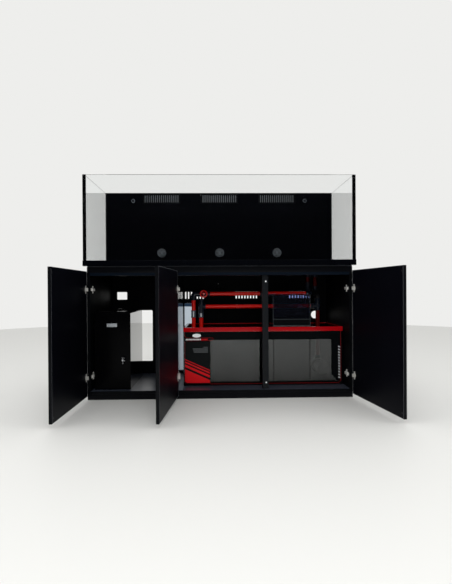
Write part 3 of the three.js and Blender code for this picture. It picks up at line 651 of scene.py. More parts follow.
def reface(name: str, finish: Finish, bevel: float, suffix: str) -> None:
    """Puts a copy with rounded edges in a node's place.

    Args:
        name: the node.
        finish: what it is made of.
        bevel: radius of its edges.
        suffix: what the piece's name adds to the node's.
    """
    Shape(finish).cad(name, bevel).piece(f"{name}_{suffix}", "stand", [name], smooth=False)


def socket_profile(radius: float, length: float, lip: float = 2.0) -> list[tuple[float, float]]:
    """Half-section of a pipe socket with a lip at each end, centred on its middle."""
    half = length / 2
    rise = lip * 0.8
    wide = radius + lip
    return [(0, -half), (wide - rise, -half), (wide, -half + rise), (wide, -half + 3 * lip),
            (radius, -half + 4 * lip), (radius, half - 4 * lip), (wide, half - 3 * lip),
            (wide, half - rise), (wide - rise, half), (0, half)]


# ---------------------------------------------------------------- cabinet
@dataclass
class Cabinet:
    """Board carcass, its back board, screws and the hinge arms inside it."""

    edge: float = 0.9            # rounding of board edges
    screw_radius: float = 5.5
    service: tuple[float, float, float, float] = (-285.0, -214.0, 80.0, 618.0)   # X, X, Z, Z of the opening
    seal: float = 1.95           # how far the dust seals stand out
    shade: float = 590.0         # where the film's darker top begins
    arm: Vector = field(default_factory=lambda: Vector((13, 60, 20)))
    arm_setback: float = 16
    arm_plate: Vector = field(default_factory=lambda: Vector((2.6, 20, 50)))

    def build(self) -> None:
        """Builds and dresses the carcass."""
        boards = {"floor_board": FLOOR_LAMINATE, "side_left": LAMINATE, "side_right": LAMINATE,
                  "front_rail": RAIL_LAMINATE, "top_board": LAMINATE, "centre_post": POST_LAMINATE,
                  "rear_strut": LAMINATE, "divider": DIVIDER_FACE}
        for name, finish in boards.items():
            reface(name, finish, 0.0 if name == "top_board" else self.edge, "finish")
        dress("back_board", LAMINATE)
        dress("plinth", LAMINATE)
        self.edge_bands()
        self.dust_seals()
        self.screws()
        self.frosted_film()
        for door, board, side in (("left", "side_left", 1), ("middle", "divider", 1),
                                  ("right", "side_right", -1)):
            self.hinge_arms(door, board, side)

    def edge_bands(self) -> None:
        """Edge bands on the front edges of the top board, the floor and the plinth, a hair proud."""
        proud, thick, soft = 0.4, 0.3, 0.3
        shape = Shape(EDGE_BAND)
        for name, inset, foot in (("top_board", 0.6, 0.5), ("floor_board", 0.5, 0.5), ("plinth", 0.6, 1.2)):
            low, high = span(name)
            shape.slab((low.x + inset, low.y - proud, low.z + foot),
                       (high.x - inset, low.y + thick, high.z - 0.5), soft)
        shape.piece("front_edge_bands", "stand")

    def screw(self, shape: Shape, centre: Point, axis: str) -> None:
        """Adds a pan-head screw with a cross recess.

        Args:
            shape: the shape it joins.
            centre: middle of the face that it sits on.
            axis: the way that its head points.
        """
        radius = self.screw_radius
        shape.turned(centre, axis, [(0, 0), (radius, 0), (radius, 0.8), (radius * 0.8, 1.9),
                                    (radius * 0.45, 2.4), (0, 2.4)], 24)

    def dust_seals(self) -> None:
        """Thin seals on the outer front corners of the sides, which the closed doors press on."""
        shape = Shape(BUMPER)
        for name, outer in (("side_left", -1), ("side_right", 1)):
            low, high = span(name)
            x = low.x if outer < 0 else high.x
            a, b = sorted((x, x - outer * 2.5))
            shape.slab((a, low.y - self.seal, low.z + 1), (b, low.y + 1, high.z - 1), 0)
        shape.piece("side_dust_seals", "stand", smooth=False)

    def frosted_film(self) -> None:
        """Frosted film in the service opening beside the divider, with painted shade towards its top."""
        low, high = span("back_board")
        x0, x1 = self.service[0] + 0.5, self.service[1] - 0.5
        y = (low.y + high.y) / 2
        shape = Shape(FROSTED, FROSTED_SHADE)
        shape.slab((x0, y - 0.5, self.service[2] + 0.5), (x1, y + 0.5, self.shade), 0)
        shape.use(1).slab((x0, y - 0.5, self.shade), (x1, y + 0.5, self.service[3] - 0.5), 0)
        shape.piece("service_opening_film", "stand", smooth=False)

    def screws(self) -> None:
        """Screws in the post and on the back board."""
        shape = Shape(PALE_PRINT_AND_HIGHLIGHT)
        low, high = span("centre_post")
        x = (low.x + high.x) / 2 + 3
        for z in (high.z - 42, low.z + 42):
            self.screw(shape, (x, low.y, z), "-y")
        rail_low, _ = span("front_rail")
        strut = middle("rear_strut")
        back_low, _ = span("back_board")
        for x in (strut.x - 10, strut.x + 352):
            self.screw(shape, (x, back_low.y, rail_low.z - 48), "-y")
        shape.piece("carcass_screws", "stand")

    def hinge_arms(self, door: str, board: str, side: int) -> None:
        """Hinge arms on their mounting plates, inside the bay.

        Args:
            door: the door they belong to.
            board: the node whose inner face they stand on.
            side: +1 when the bay is on the +X side of that board.
        """
        low, high = span(board)
        face = high.x if side > 0 else low.x
        way = "x" if side > 0 else "-x"
        front = span("floor_board")[0].y + self.arm_setback
        mid = front + self.arm.y * 0.6
        arm_tip, plate_tip = face + side * self.arm.x, face + side * self.arm_plate.x
        screw_face = face + side * (self.arm.x - 0.4)
        shape = Shape(NICKEL)
        for level in ("upper", "lower"):
            z = middle(f"{door}_hinge_cup_{level}").z
            a, b = sorted((face, arm_tip))
            shape.slab((a, front, z - self.arm.z / 2), (b, front + self.arm.y, z + self.arm.z / 2), 2.5)
            c, d = sorted((face, plate_tip))
            shape.slab((c, mid, z - self.arm_plate.z / 2),
                       (d, mid + self.arm_plate.y, z + self.arm_plate.z / 2), 1.0)
            for offset in (-19, 19):
                self.screw(shape, (plate_tip, mid + 10, z + offset), way)
            for along in (14, 46):
                self.screw(shape, (screw_face, front + along, z), way)
        shape.piece(f"{door}_hinge_arms", "stand")


@dataclass
class Door:
    """A door with its edge band, bumpers and two cup hinges."""

    name: str
    side: int                    # +1 when it hangs at its right edge
    edge: float = 1.3

    def frame_matrix(self) -> Matrix:
        """The door's own axes: X along it from the hinge, Y out of its inner face, in the open pose."""
        joint = next(item for item in frame["joints"] if item["child"] == f"{self.name}_door")
        low, high = joint["range_deg"]
        closing = high if self.side < 0 else low
        pivot = Vector(joint["pos_m"]) / MM
        turn = Matrix.Rotation(math.radians(-closing), 4, "Z")
        return Matrix.Translation(pivot) @ turn @ Matrix.Translation(-pivot)

    def build(self) -> None:
        """Builds the panel, its hinges and its bumpers."""
        node = f"{self.name}_door"
        closed = self.frame_matrix().inverted()
        low, high = self.closed_box(node, closed)
        shape = Shape(DOOR_FACE, EDGE_BAND, ARRIS_HIGHLIGHT)
        band = 1.0
        shape.slab((low.x + band, low.y, low.z + band), (high.x - band, high.y - 0.15, high.z - band), 0.25)
        # A thin pale strip on the inner face: a painted highlight along the arris.
        highlight_in, highlight_out, highlight_back, highlight_front = 2.4, band + 0.2, high.y - 0.3, high.y - 0.02
        shape.use(2)
        self.band(shape, low, high, [(highlight_in, highlight_back), (highlight_out, highlight_back), (highlight_out, highlight_front),
                                     (highlight_in, highlight_front)])
        shape.use(1)
        inset = 0.12
        section = [(0, low.y + self.edge), (self.edge, low.y + inset), (band + 0.4, low.y + inset),
                   (band + 0.4, high.y - inset), (self.edge, high.y - inset), (0, high.y - self.edge)]
        self.band(shape, low, high, section)
        shape.piece(f"{self.name}_door_panel", node, [node], self.frame_matrix(), smooth=False)
        self.hinges(closed)
        self.bumpers(low, high)
        if self.name != "middle":
            self.dust_lip(low, high)

    def closed_box(self, node: str, closed: Matrix) -> tuple[Vector, Vector]:
        """Box of a node once the door is closed.

        Args:
            node: the node.
            closed: the move that takes the open door to its closed place.

        Returns:
            Its lowest and highest corners, in millimetres.
        """
        verts = [closed @ (vert.co / MM) for vert in frame["nodes"][node].data.vertices]
        low = Vector([min(vert[axis] for vert in verts) for axis in range(3)])
        high = Vector([max(vert[axis] for vert in verts) for axis in range(3)])
        return low, high

    def dust_lip(self, low: Vector, high: Vector) -> None:
        """Soft lip on the hinge edge, which closes the slit beside the cabinet.

        Args:
            low: lowest corner of the closed panel.
            high: highest corner.
        """
        reveal = 1.45
        x0, x1 = (high.x, high.x + reveal) if self.side > 0 else (low.x - reveal, low.x)
        shape = Shape(BUMPER).slab((x0, low.y + 2, low.z + 1), (x1, high.y - 0.1, high.z - 1), 0)
        shape.piece(f"{self.name}_door_lip", f"{self.name}_door", (), self.frame_matrix(), smooth=False)

    def band(self, shape: Shape, low: Vector, high: Vector, section: list[tuple[float, float]]) -> None:
        """Adds the edge band round the panel.

        Args:
            shape: the shape it joins.
            low: lowest corner of the closed panel.
            high: highest corner.
            section: closed section as inset from the outline and Y.
        """
        loops = []
        for inset, y in section:
            x0, z0, x1, z1 = low.x + inset, low.z + inset, high.x - inset, high.z - inset
            corners = ((x0, z0), (x1, z0), (x1, z1), (x0, z1))
            loops.append([shape.bm.verts.new((x, y, z)) for x, z in corners])
        shape.skin(loops, True, False)

    def hinges(self, closed: Matrix) -> None:
        """Adds a detailed cup and knuckle over each hinge cup.

        Args:
            closed: the move that takes the open door to its closed place.
        """
        for level in ("upper", "lower"):
            node = f"{self.name}_hinge_cup_{level}"
            low, high = self.closed_box(node, closed)
            x, z = (low.x + high.x) / 2, (low.z + high.z) / 2
            face = high.y - 16 + 0.3
            rise = face - low.y
            radius = (high.x - low.x) / 2
            shape = Shape(NICKEL)
            shape.turned((x, low.y, z), "y", [
                (0, 0), (radius - 2, 0), (radius - 1, 1), (radius - 1, rise), (radius, rise + 0.2),
                (radius, rise + 0.7), (radius - 0.8, rise + 1.0), (radius - 3, rise + 1.0),
                (radius - 3.6, rise + 0.6), (0, rise + 0.6)])
            wing = 26.0
            head = [(0, 0), (4, 0), (4, 0.7), (2.6, 1.6), (0, 1.6)]
            shape.slab((x - 8, face, z - wing), (x + 8, face + 1.2, z + wing), 0.5)
            for offset in (-21, 21):
                shape.turned((x, face + 1.0, z + offset), "y", head, 20)
            for offset in (-9, 9):
                shape.slab((x - 6, face, z + offset - 1.6), (x + 6, high.y - 0.2, z + offset + 1.6), 1.2)
            for y in (face + 6, face + 11):
                shape.turned((x, y, z - 12), "z", [(0, 0), (2.2, 0), (2.2, 24), (0, 24)], 16)
            shape.slab((x - 5.5, face + 3.5, z - 7.4), (x + 5.5, high.y - 0.4, z + 7.4), 2.0)
            shape.piece(f"{self.name}_hinge_{level}_detail", f"{self.name}_door", [node],
                        self.frame_matrix())

    def bumpers(self, low: Vector, high: Vector) -> None:
        """Adds two rubber bumpers at the free edge of the inner face."""
        free = low.x if self.side > 0 else high.x
        x = free + self.side * 14
        dome = [(0, 0), (4.5, 0), (4.3, 0.7), (3.2, 1.3), (0, 1.6)]
        shape = Shape(BUMPER)
        for z in (low.z + 30, high.z - 30):
            shape.turned((x, high.y - 0.1, z), "y", dome, 24)
        shape.piece(f"{self.name}_door_bumpers", f"{self.name}_door", (), self.frame_matrix())


# ---------------------------------------------------------------- aquarium
@dataclass
class Tank:
    """Panes, seals, weir wall with its fittings, and the overflow chamber."""

    arris: float = 1.2           # polished edge of the glass
    bead: float = 7.0            # silicone fillet along the inner joints
    guard_gap: float = 14.0      # from the wall to the splash guards behind the combs

    def build(self) -> None:
        """Builds and dresses the aquarium."""
        for name in ("tank_front", "tank_left", "tank_right", "tank_rear"):
            reface(name, FLOAT_GLASS, self.arris, "pane")
        dress("tank_bottom", FLOAT_GLASS)
        for name in ("corner_seal_left", "corner_seal_right"):
            dress(name, SILICONE)
        dress("levelling_mat", FOAM)
        self.trim()
        dress("weir_wall", BLACK_SHEET)
        for side in ("left", "middle", "right"):
            dress(f"overflow_comb_{side}", COMB)
            self.strainer(side)
        self.nozzles()
        self.floor_film()
        self.beads()
        self.chamber()

    def trim(self) -> None:
        """The black band round the bottom of the tank."""
        low, high = span("base_trim")
        thick = 2.0
        section = [(0, low.z + 0.8), (0.8, low.z), (thick, low.z), (thick, high.z), (0.9, high.z),
                   (0, high.z - 0.9)]
        Shape(TRIM).frame_ring(low, high, section, 1.5).piece("base_trim_band", "stand", ["base_trim"])

    def floor_film(self) -> None:
        """Black sheet on the glass bottom, so that the floor of the tank is dark."""
        low, high = span("tank_bottom")
        inset = 15.5
        shape = Shape(BLACK_SHEET)
        shape.slab((low.x + inset, low.y + inset, high.z + 0.1),
                   (high.x - inset, span("weir_wall")[0].y - 0.5, high.z + 2.1), 0)
        shape.piece("tank_floor_sheet", "stand", smooth=False)

    def fillet(self, a: float, b: float, way_a: int, way_b: int) -> list[tuple[float, float]]:
        """Hollow section of a silicone fillet.

        Args:
            a: first coordinate of the corner that it fills.
            b: second coordinate.
            way_a: +1 or -1, the way that it spreads along the first.
            way_b: the way that it spreads along the second.

        Returns:
            The section's corners.
        """
        section = [(a, b)]
        steps = 6
        for step in range(steps + 1):
            angle = math.radians(90 * step / steps)
            section.append((a + way_a * self.bead * (1 - math.sin(angle)),
                            b + way_b * self.bead * (1 - math.cos(angle))))
        return section

    def beads(self) -> None:
        """Silicone fillets along the weir wall and the floor of the tank."""
        wall_low, wall_high = span("weir_wall")
        left, right = wall_low.x, wall_high.x
        shape = Shape(SILICONE)
        for x, way in ((left, 1), (right, -1)):
            section = self.fillet(x, wall_low.y, way, -1)
            shape.skin([[shape.bm.verts.new((px, py, z)) for px, py in section]
                        for z in (wall_low.z + 3, wall_high.z - 1)], False, True)
        floor = wall_low.z + 2.2
        for y, way in ((wall_low.y, -1), (span("tank_front")[1].y, 1)):
            section = self.fillet(y, floor, way, 1)
            shape.skin([[shape.bm.verts.new((x, py, pz)) for py, pz in section]
                        for x in (left + 1, right - 1)], False, True)
        shape.piece("silicone_fillets", "stand")

    def strainer(self, side: str) -> None:
        """A round grille over a drain in the weir wall.

        Args:
            side: left, middle or right.
        """
        low, high = span(f"strainer_{side}")
        radius = (high.x - low.x) / 2
        centre = Vector(((low.x + high.x) / 2, high.y, (low.z + high.z) / 2))
        depth = high.y - low.y
        shape = Shape(GREY_PLASTIC, BLACK_PVC)
        shape.use(1)
        shape.turned(centre, "-y", [
            (radius - 5, 0), (radius, 0), (radius, depth * 0.5), (radius - 1.4, depth * 0.85),
            (radius - 3.5, depth), (radius - 5, depth * 0.8)], 64, closed=True)
        shape.use(0)
        shape.turned(centre, "-y", [(radius - 7, 0), (radius - 5.1, 0), (radius - 5.1, depth * 0.7),
                                    (radius - 7, depth * 0.7)], 64, closed=True)
        shape.use(1)
        shape.turned(centre, "-y", [(0, 0.3), (radius - 6, 0.3), (radius - 6, 1.4), (0, 1.4)], 48)
        shape.use(0)
        bars = 7
        inner = radius - 5.5
        pitch = 2 * (radius - 6) / bars
        wide = pitch * 0.24
        back = high.y - 0.5
        for index in range(bars):
            x = centre.x + (index - (bars - 1) / 2) * pitch
            half = math.sqrt(max(inner ** 2 - (x - centre.x) ** 2, 1))
            shape.slab((x - wide, low.y + 1.4, centre.z - half), (x + wide, back, centre.z + half), 0.8)
        for z in (-0.5, 0.5):
            mid = centre.z + z * radius * 0.75
            half = math.sqrt(inner ** 2 - (mid - centre.z) ** 2)
            shape.slab((centre.x - half, low.y + 2.2, mid - 1.6), (centre.x + half, back, mid + 1.6), 0.6)
        boss = [(0, 1), (9, 1), (9, depth - 1.4), (7.6, depth - 0.2), (0, depth - 0.2)]
        shape.turned(centre, "-y", boss, 32)
        shape.piece(f"strainer_{side}_grille", "stand", [f"strainer_{side}"])

    def nozzles(self) -> None:
        """Return nozzles: seats with a grip ring, and balls with a flared spout."""
        for side in ("left", "right"):
            low, high = span(f"nozzle_seat_{side}")
            x, z = (low.x + high.x) / 2, (low.z + high.z) / 2
            outer = (high.x - low.x) / 2
            ball_low, ball_high = span(f"nozzle_{side}")
            radius = (ball_high.x - ball_low.x) / 2
            bore = radius + 0.35
            flange = span("weir_wall")[0].y - low.y
            wall = outer - flange
            seat = Shape(BLACK_PVC, GREY_PLASTIC)
            ring = [(bore + 0.8, 0), (bore + 3, 0), (bore + 3, 0.6), (bore + 0.8, 0.6)]
            seat.use(1).turned((x, low.y, z), "y", ring, 48, closed=True)
            seat.use(0).turned((x, low.y, z), "y", [
                (bore, 0.6), (bore + 0.6, 0.3), (outer - 2, 0.3), (outer - 0.8, 0.6), (outer, flange - 0.6),
                (outer, flange), (wall, flange), (wall, high.y - low.y), (bore, high.y - low.y),
            ], 48, closed=True).piece(f"nozzle_{side}_seat_ring", "stand", [f"nozzle_seat_{side}"])
            tip = ball_low.y - low.y
            spout, hole = radius * 0.76, radius * 0.48
            neck = -math.sqrt(radius ** 2 - spout ** 2)
            profile = [(hole, tip + 0.6), (hole + 0.6, tip), (spout - 2.2, tip), (spout - 1.5, tip + 0.7),
                       (spout, neck - 2), (spout, neck)]
            back = math.sqrt(radius ** 2 - hole ** 2)
            steps = 12
            for step in range(1, steps):
                height = neck + (back - neck) * step / steps
                profile.append((math.sqrt(radius ** 2 - height ** 2), height))
            profile.append((hole, back))
            Shape(BLACK_PVC).turned((x, low.y, z), "y", profile, 48, closed=True).piece(
                f"nozzle_{side}_ball", f"nozzle_{side}", [f"nozzle_{side}"])

    def chamber(self) -> None:
        """The rear sheet, splash guards, standpipe and manifold behind the weir wall."""
        rear_low, rear_high = span("tank_rear")
        shape = Shape(BLACK_SHEET, GUARD_PAINTED_LIGHT)
        shape.slab((rear_low.x + 17, rear_low.y - 0.9, rear_low.z + 1),
                   (rear_high.x - 17, rear_low.y - 0.3, rear_high.z - 1), 0)
        for name in ("left", "middle", "right"):
            low, high = span(f"overflow_comb_{name}")
            # Pale guards behind the combs: painted light seen through the slots.
            shape.use(1).slab((low.x, high.y + self.guard_gap, low.z - 10),
                              (high.x, high.y + self.guard_gap + 2, high.z + 4), 0.4)
        shape.piece("overflow_chamber_liner", "stand", smooth=False)
        low, high = span("drain_standpipe")
        x, y = (low.x + high.x) / 2, (low.y + high.y) / 2
        wide = (high.x - low.x) / 2
        glass_top = span("tank_bottom")[1].z
        shape = Shape(BLACK_PVC)
        shape.turned((x, y, 0), "z", [
            (0, low.z), (20, low.z), (22, low.z + 2), (22, glass_top), (wide - 1, glass_top),
            (wide, glass_top + 1), (wide, glass_top + 6), (wide - 2, glass_top + 8), (20, glass_top + 8),
            (20, glass_top + 30), (18.5, glass_top + 32), (18.5, high.z - 1), (17.7, high.z), (15.7, high.z),
            (15.5, high.z - 1), (15.5, high.z - 60), (0, high.z - 60)])
        shape.piece("standpipe_turned", "stand", ["drain_standpipe"])
        low, high = span("return_manifold")
        radius = 12.5
        z = high.z - radius
        nozzle_x = [middle(f"nozzle_seat_{side}").x for side in ("left", "right")]
        end_x = high.x - 27
        riser_x = max(end_x, nozzle_x[1])
        y = span("drain_standpipe")[0].y + wide
        shape = Shape(BLACK_PVC)
        shape.tube([(low.x, y, z), (end_x + 20, y, z)], radius)
        shape.upright(riser_x, y, glass_top + 7, z, radius)
        shape.turned((riser_x, y, 0), "z", [
            (0, low.z), (20, low.z), (22, low.z + 2), (22, glass_top), (26, glass_top), (27, glass_top + 1),
            (27, glass_top + 6), (25, glass_top + 8), (0, glass_top + 8)])
        seat_back = span("nozzle_seat_left")[1].y
        for x in nozzle_x:
            shape.tube([(x, seat_back + 0.3, z), (x, y, z)], radius)
            shape.turned((x, y, z), "x", socket_profile(radius + 3, 52))
            shape.turned((x, y - 18, z), "y", socket_profile(radius + 3, 20))
        shape.turned((riser_x, y, z), "x", socket_profile(radius + 3, 46))
        shape.turned((riser_x, y, z - 22), "z", socket_profile(radius + 3, 22))
        shape.piece("return_manifold_pipes", "stand", ["return_manifold"])


# ---------------------------------------------------------------- pipework
@dataclass
class Pipework:
    """Drain line with its gate valve, return line with its pump, and the feed line."""

    pipe: float = 15.0
    grip: float = 21.0
    bend: float = 30.0

    def build(self) -> None:
        """Builds every line."""
        self.drain_line()
        self.gate_valve()
        self.handwheel()
        self.drain_drop()
        self.return_hose()
        self.pump_riser()
        self.feed_line()
        self.pump()

    def elbow(self, shape: Shape, before: Point, corner: Point, after: Point) -> None:
        """Adds a moulded elbow with a socket at each end.

        Args:
            shape: the shape it joins.
            before: a point that the first leg points to.
            corner: where the two legs' axes meet.
            after: a point that the second leg points to.
        """
        corner = Vector(corner)
        reach = 38.0
        a = corner + (Vector(before) - corner).normalized() * reach
        b = corner + (Vector(after) - corner).normalized() * reach
        shape.tube([a, corner, b], self.grip - 2, 24)
        for end in (a, b):
            way = (corner - end).normalized()
            shape.tube([end, end + way * 12], self.grip)
            shape.tube([end, end + way * 3], self.grip + 1.4)

    def drain_line(self) -> None:
        """Red drain line from the chamber to the valve, with black elbows."""
        low, high = span("drain_line")
        stand = middle("drain_standpipe")
        valve = span("gate_valve")
        run_y, run_z = low.y + self.pipe, low.z + self.pipe
        top = (stand.x, stand.y, high.z)
        first = (stand.x, stand.y, run_z)
        second = (stand.x, run_y, run_z)
        end = (valve[1].x, run_y, run_z)
        shape = Shape(RED_PVC, BLACK_PVC, SHADED_RED_PVC)
        shape.tube([top, first, second, end], self.pipe, self.bend)
        collar = run_z + 92
        # Upper stretch in darker red: painted shade.
        shape.use(2).tube([(stand.x, stand.y, collar), top], self.pipe + 0.5)
        shape.use(1).upright(stand.x, stand.y, run_z + 30, collar, self.pipe + 3)
        self.elbow(shape, top, first, second)
        self.elbow(shape, first, second, end)
        for x, length in ((end[0] + 12, 24), ((end[0] + second[0]) / 2 + 30, 46)):
            shape.turned((x, run_y, run_z), "x", socket_profile(self.pipe + 3, length))
        shape.piece("drain_line_pipe", "stand", ["drain_line"])

    def gate_valve(self) -> None:
        """Black gate valve with a bonnet, a packing nut and a stem."""
        low, high = span("gate_valve")
        x = (low.x + high.x) / 2
        z = (low.z + high.z) / 2
        y = high.y - 22
        reach = y - low.y
        shape = Shape(BLACK_PVC, NICKEL)
        shape.turned((x, y, z), "x", [(0, -24), (21, -24), (22, -23), (22, -13), (18, -11), (18, 11),
                                      (22, 13), (22, 23), (21, 24), (0, 24)])
        shape.turned((x, y, z), "-y", [(0, 0), (17, 0), (17, 20), (20, 21), (20, 27), (15, 28), (13, 34),
                                       (13, 42), (9, 44), (0, 44)])
        shape.turned((x, y - 30, z), "-y", [(0, 0), (16, 0), (16, 6), (14.5, 7), (0, 7)], 6)
        shape.use(1)
        shape.turned((x, y, z), "-y", [(0, 40), (3.8, 40), (3.8, reach - 1), (3, reach), (0, reach)], 24)
        shape.piece("gate_valve_body", "stand", ["gate_valve"])

    def handwheel(self) -> None:
        """Red handwheel with a rounded rim, three spokes and a hub."""
        low, high = span("handwheel")
        centre = (low + high) / 2
        outer = (high.x - low.x) / 2
        rim = 4.6
        shape = Shape(RED_PVC)
        section = [(outer - rim + rim * math.cos(angle), rim * math.sin(angle))
                   for angle in angles(14)]
        shape.turned(centre, "y", section, 56, closed=True)
        for index in range(3):
            turn = Matrix.Translation(centre) @ Matrix.Rotation(math.radians(90 + 120 * index), 4, "Y")
            shape.slab((5.5, -2, -2.6), (outer - rim, 2, 2.6), 1.4, turn)
        hub = [(4.5, -5.6), (8.2, -5.6), (9, -4.8), (9, 4.8), (8.2, 5.6), (4.5, 5.6)]
        shape.turned(centre, "y", hub, 32, closed=True)
        shape.piece("handwheel_red", "handwheel", ["handwheel"])

    def sleeve(self, shape: Shape, centre: Point, length: float) -> None:
        """Adds a smooth sleeve over a vertical pipe, with a pale painted highlight down its front.

        Args:
            shape: the shape it joins.
            centre: middle of the sleeve.
            length: its length.
        """
        shape.turned(centre, "z", socket_profile(self.pipe + 3.4, length))
        x, y, z = centre
        front = y - self.pipe - 3.6
        half = length / 2 - 3
        # A pale strip down the front: a painted highlight.
        shape.use(3).slab((x - 4.5, front, z - half), (x + 4.5, front + 1.5, z + half), 0.3)

    def union(self, shape: Shape, centre: Point) -> None:
        """Adds a pipe union with a ribbed nut.

        Args:
            shape: the shape it joins.
            centre: middle of the union, on a vertical pipe.
        """
        shape.turned(centre, "z", [(0, -24), (19, -24), (20, -23), (20, -10), (0, -10)])
        shape.turned(centre, "z", [(0, 14), (20, 14), (20, 23), (19, 24), (0, 24)])
        shape.turned(centre, "z", [(0, -12), (22, -12), (25, -9), (25.5, 8), (23, 14), (0, 14)])
        ribs = 18
        for index in range(ribs):
            turn = Matrix.Translation(Vector(centre)) @ Matrix.Rotation(2 * math.pi * index / ribs, 4, "Z")
            shape.slab((23, -1.3, -9), (26.6, 1.3, 9), 0.9, turn)

    def drain_drop(self) -> None:
        """Elbow, sleeve and the open end over the filter chamber."""
        low, high = span("drain_drop")
        x = low.x + 28
        y = (low.y + high.y) / 2
        z = high.z - 22
        sleeve_z = 538.0
        shape = Shape(RED_PVC, BLACK_PVC, SLEEVE, PALE_PRINT_AND_HIGHLIGHT)
        shape.upright(x, y, low.z, z - 36, self.pipe)
        shape.use(1)
        shape.tube([(x, y, z - 48), (x, y, z), (high.x, y, z)], self.grip, 24)
        shape.upright(x, y, z - 48, z - 44, self.grip + 1.4)
        shape.tube([(high.x - 5, y, z), (high.x, y, z)], self.grip + 1.0)
        self.sleeve(shape.use(2), (x, y, sleeve_z), 56)
        shape.piece("drain_drop_pipe", "stand", ["drain_drop"])

    def return_hose(self) -> None:
        """Red stub from the bulkhead, then a ribbed hose to the tee."""
        low, high = span("return_hose")
        pump = middle("return_pump")
        chamber_y = high.y - self.pipe
        run_y = low.y + self.pipe
        riser_x = high.x - self.pipe
        start = 728.0
        shape = Shape(HOSE, SHADED_RED_PVC, BLACK_PVC)
        shape.tube([(riser_x, chamber_y, start), (riser_x, chamber_y, start - 62),
                    (pump.x, run_y, low.z + 50), (pump.x, run_y, low.z)], self.pipe, 24, rib=1.6, pitch=7)
        # The stub in darker red: painted shade.
        shape.use(1).upright(riser_x, chamber_y, start, high.z, self.pipe - 0.5)
        shape.use(2).turned((riser_x, chamber_y, start + 4), "z", socket_profile(self.pipe + 3, 34))
        shape.turned((pump.x, run_y, low.z + 12), "z", socket_profile(self.pipe + 3, 22))
        shape.piece("return_hose_ribbed", "stand", ["return_hose"])

    def pump_riser(self) -> None:
        """Riser from the pump with the tee that feeds both lines."""
        low, high = span("pump_riser")
        x, y = high.x - 22, (low.y + high.y) / 2
        run_z = high.z - 34
        # The riser in darker red: painted shade.
        shape = Shape(SHADED_RED_PVC, BLACK_PVC)
        shape.upright(x, y, low.z, high.z - 2, self.pipe)
        shape.use(1).upright(x, y, run_z - 34, high.z, self.grip - 2)
        for z in (run_z - 34, high.z - 12):
            shape.upright(x, y, z, z + 12, self.grip)
        shape.tube([(low.x, y, run_z), (x, y, run_z)], self.grip - 2)
        shape.tube([(low.x, y, run_z), (low.x + 12, y, run_z)], self.grip)
        self.union(shape, (x, y, low.z + 150))
        shape.piece("pump_riser_pipe", "stand", ["pump_riser"])

    def feed_line(self) -> None:
        """Red cross run with a tee and a drop into the sump."""
        low, high = span("feed_line")
        y = (low.y + high.y) / 2
        x = low.x + 22
        top = high.z
        run_z = top - 55
        shape = Shape(RED_PVC, BLACK_PVC, SLEEVE, PALE_PRINT_AND_HIGHLIGHT)
        self.sleeve(shape.use(2), (x, y, run_z - 62), 44)
        shape.use(0)
        shape.tube([(x, y, run_z), (high.x, y, run_z)], self.pipe)
        shape.upright(x, y, low.z, run_z, self.pipe)
        shape.use(1).upright(x, y, run_z - 50, top - 1, self.grip - 2)
        for z in (run_z - 50, top - 12):
            shape.upright(x, y, z, z + 12, self.grip)
        shape.turned((x, y, top - 2), "z", [(0, 0), (17, 0), (17, 1), (15, 2), (0, 2)])
        shape.tube([(x, y, run_z), (x + 36, y, run_z)], self.grip - 2)
        shape.tube([(x + 26, y, run_z), (x + 36, y, run_z)], self.grip)
        shape.turned((high.x - 12, y, run_z), "x", socket_profile(self.pipe + 3, 22))
        shape.piece("feed_line_pipe", "stand", ["feed_line"])

    def pump(self) -> None:
        """Return pump with cooling ribs, a volute and feet."""
        low, high = span("return_pump")
        x = (low.x + high.x) / 2
        z = low.z + 70
        riser_y = span("pump_riser")[0].y + 22
        shape = Shape(PUMP_PLASTIC, BLACK_PVC)
        length = 136.0
        profile = [(0, 0), (38, 0), (44, 5)]
        ribs = 9
        for index in range(ribs):
            start = 12 + index * (length - 24) / ribs
            profile += [(44, start), (46, start + 1), (46, start + 6), (44, start + 7)]
        profile += [(44, length), (0, length)]
        shape.turned((x, low.y, z), "y", profile, 48)
        volute_y = 108.0
        volute = [(0, 0), (50, 0), (55, 5), (56, 10), (56, 52), (55, 57), (50, 62), (0, 62)]
        shape.turned((x, volute_y, z), "y", volute)
        shape.upright(x, riser_y, z, high.z, self.grip - 1)
        shape.upright(x, riser_y, high.z - 22, high.z, self.grip + 0.9)
        shape.use(1)
        shape.slab((x - 44, -20, low.z), (x + 44, 150, low.z + 12), 3)
        for end in (-14, 132):
            shape.slab((x - 30, end, low.z + 8), (x + 30, end + 12, low.z + 36), 3)
        shape.piece("return_pump_body", "stand", ["return_pump"])


# ---------------------------------------------------------------- sump
BAFFLES = ("baffle_refill_left", "baffle_refill_right")


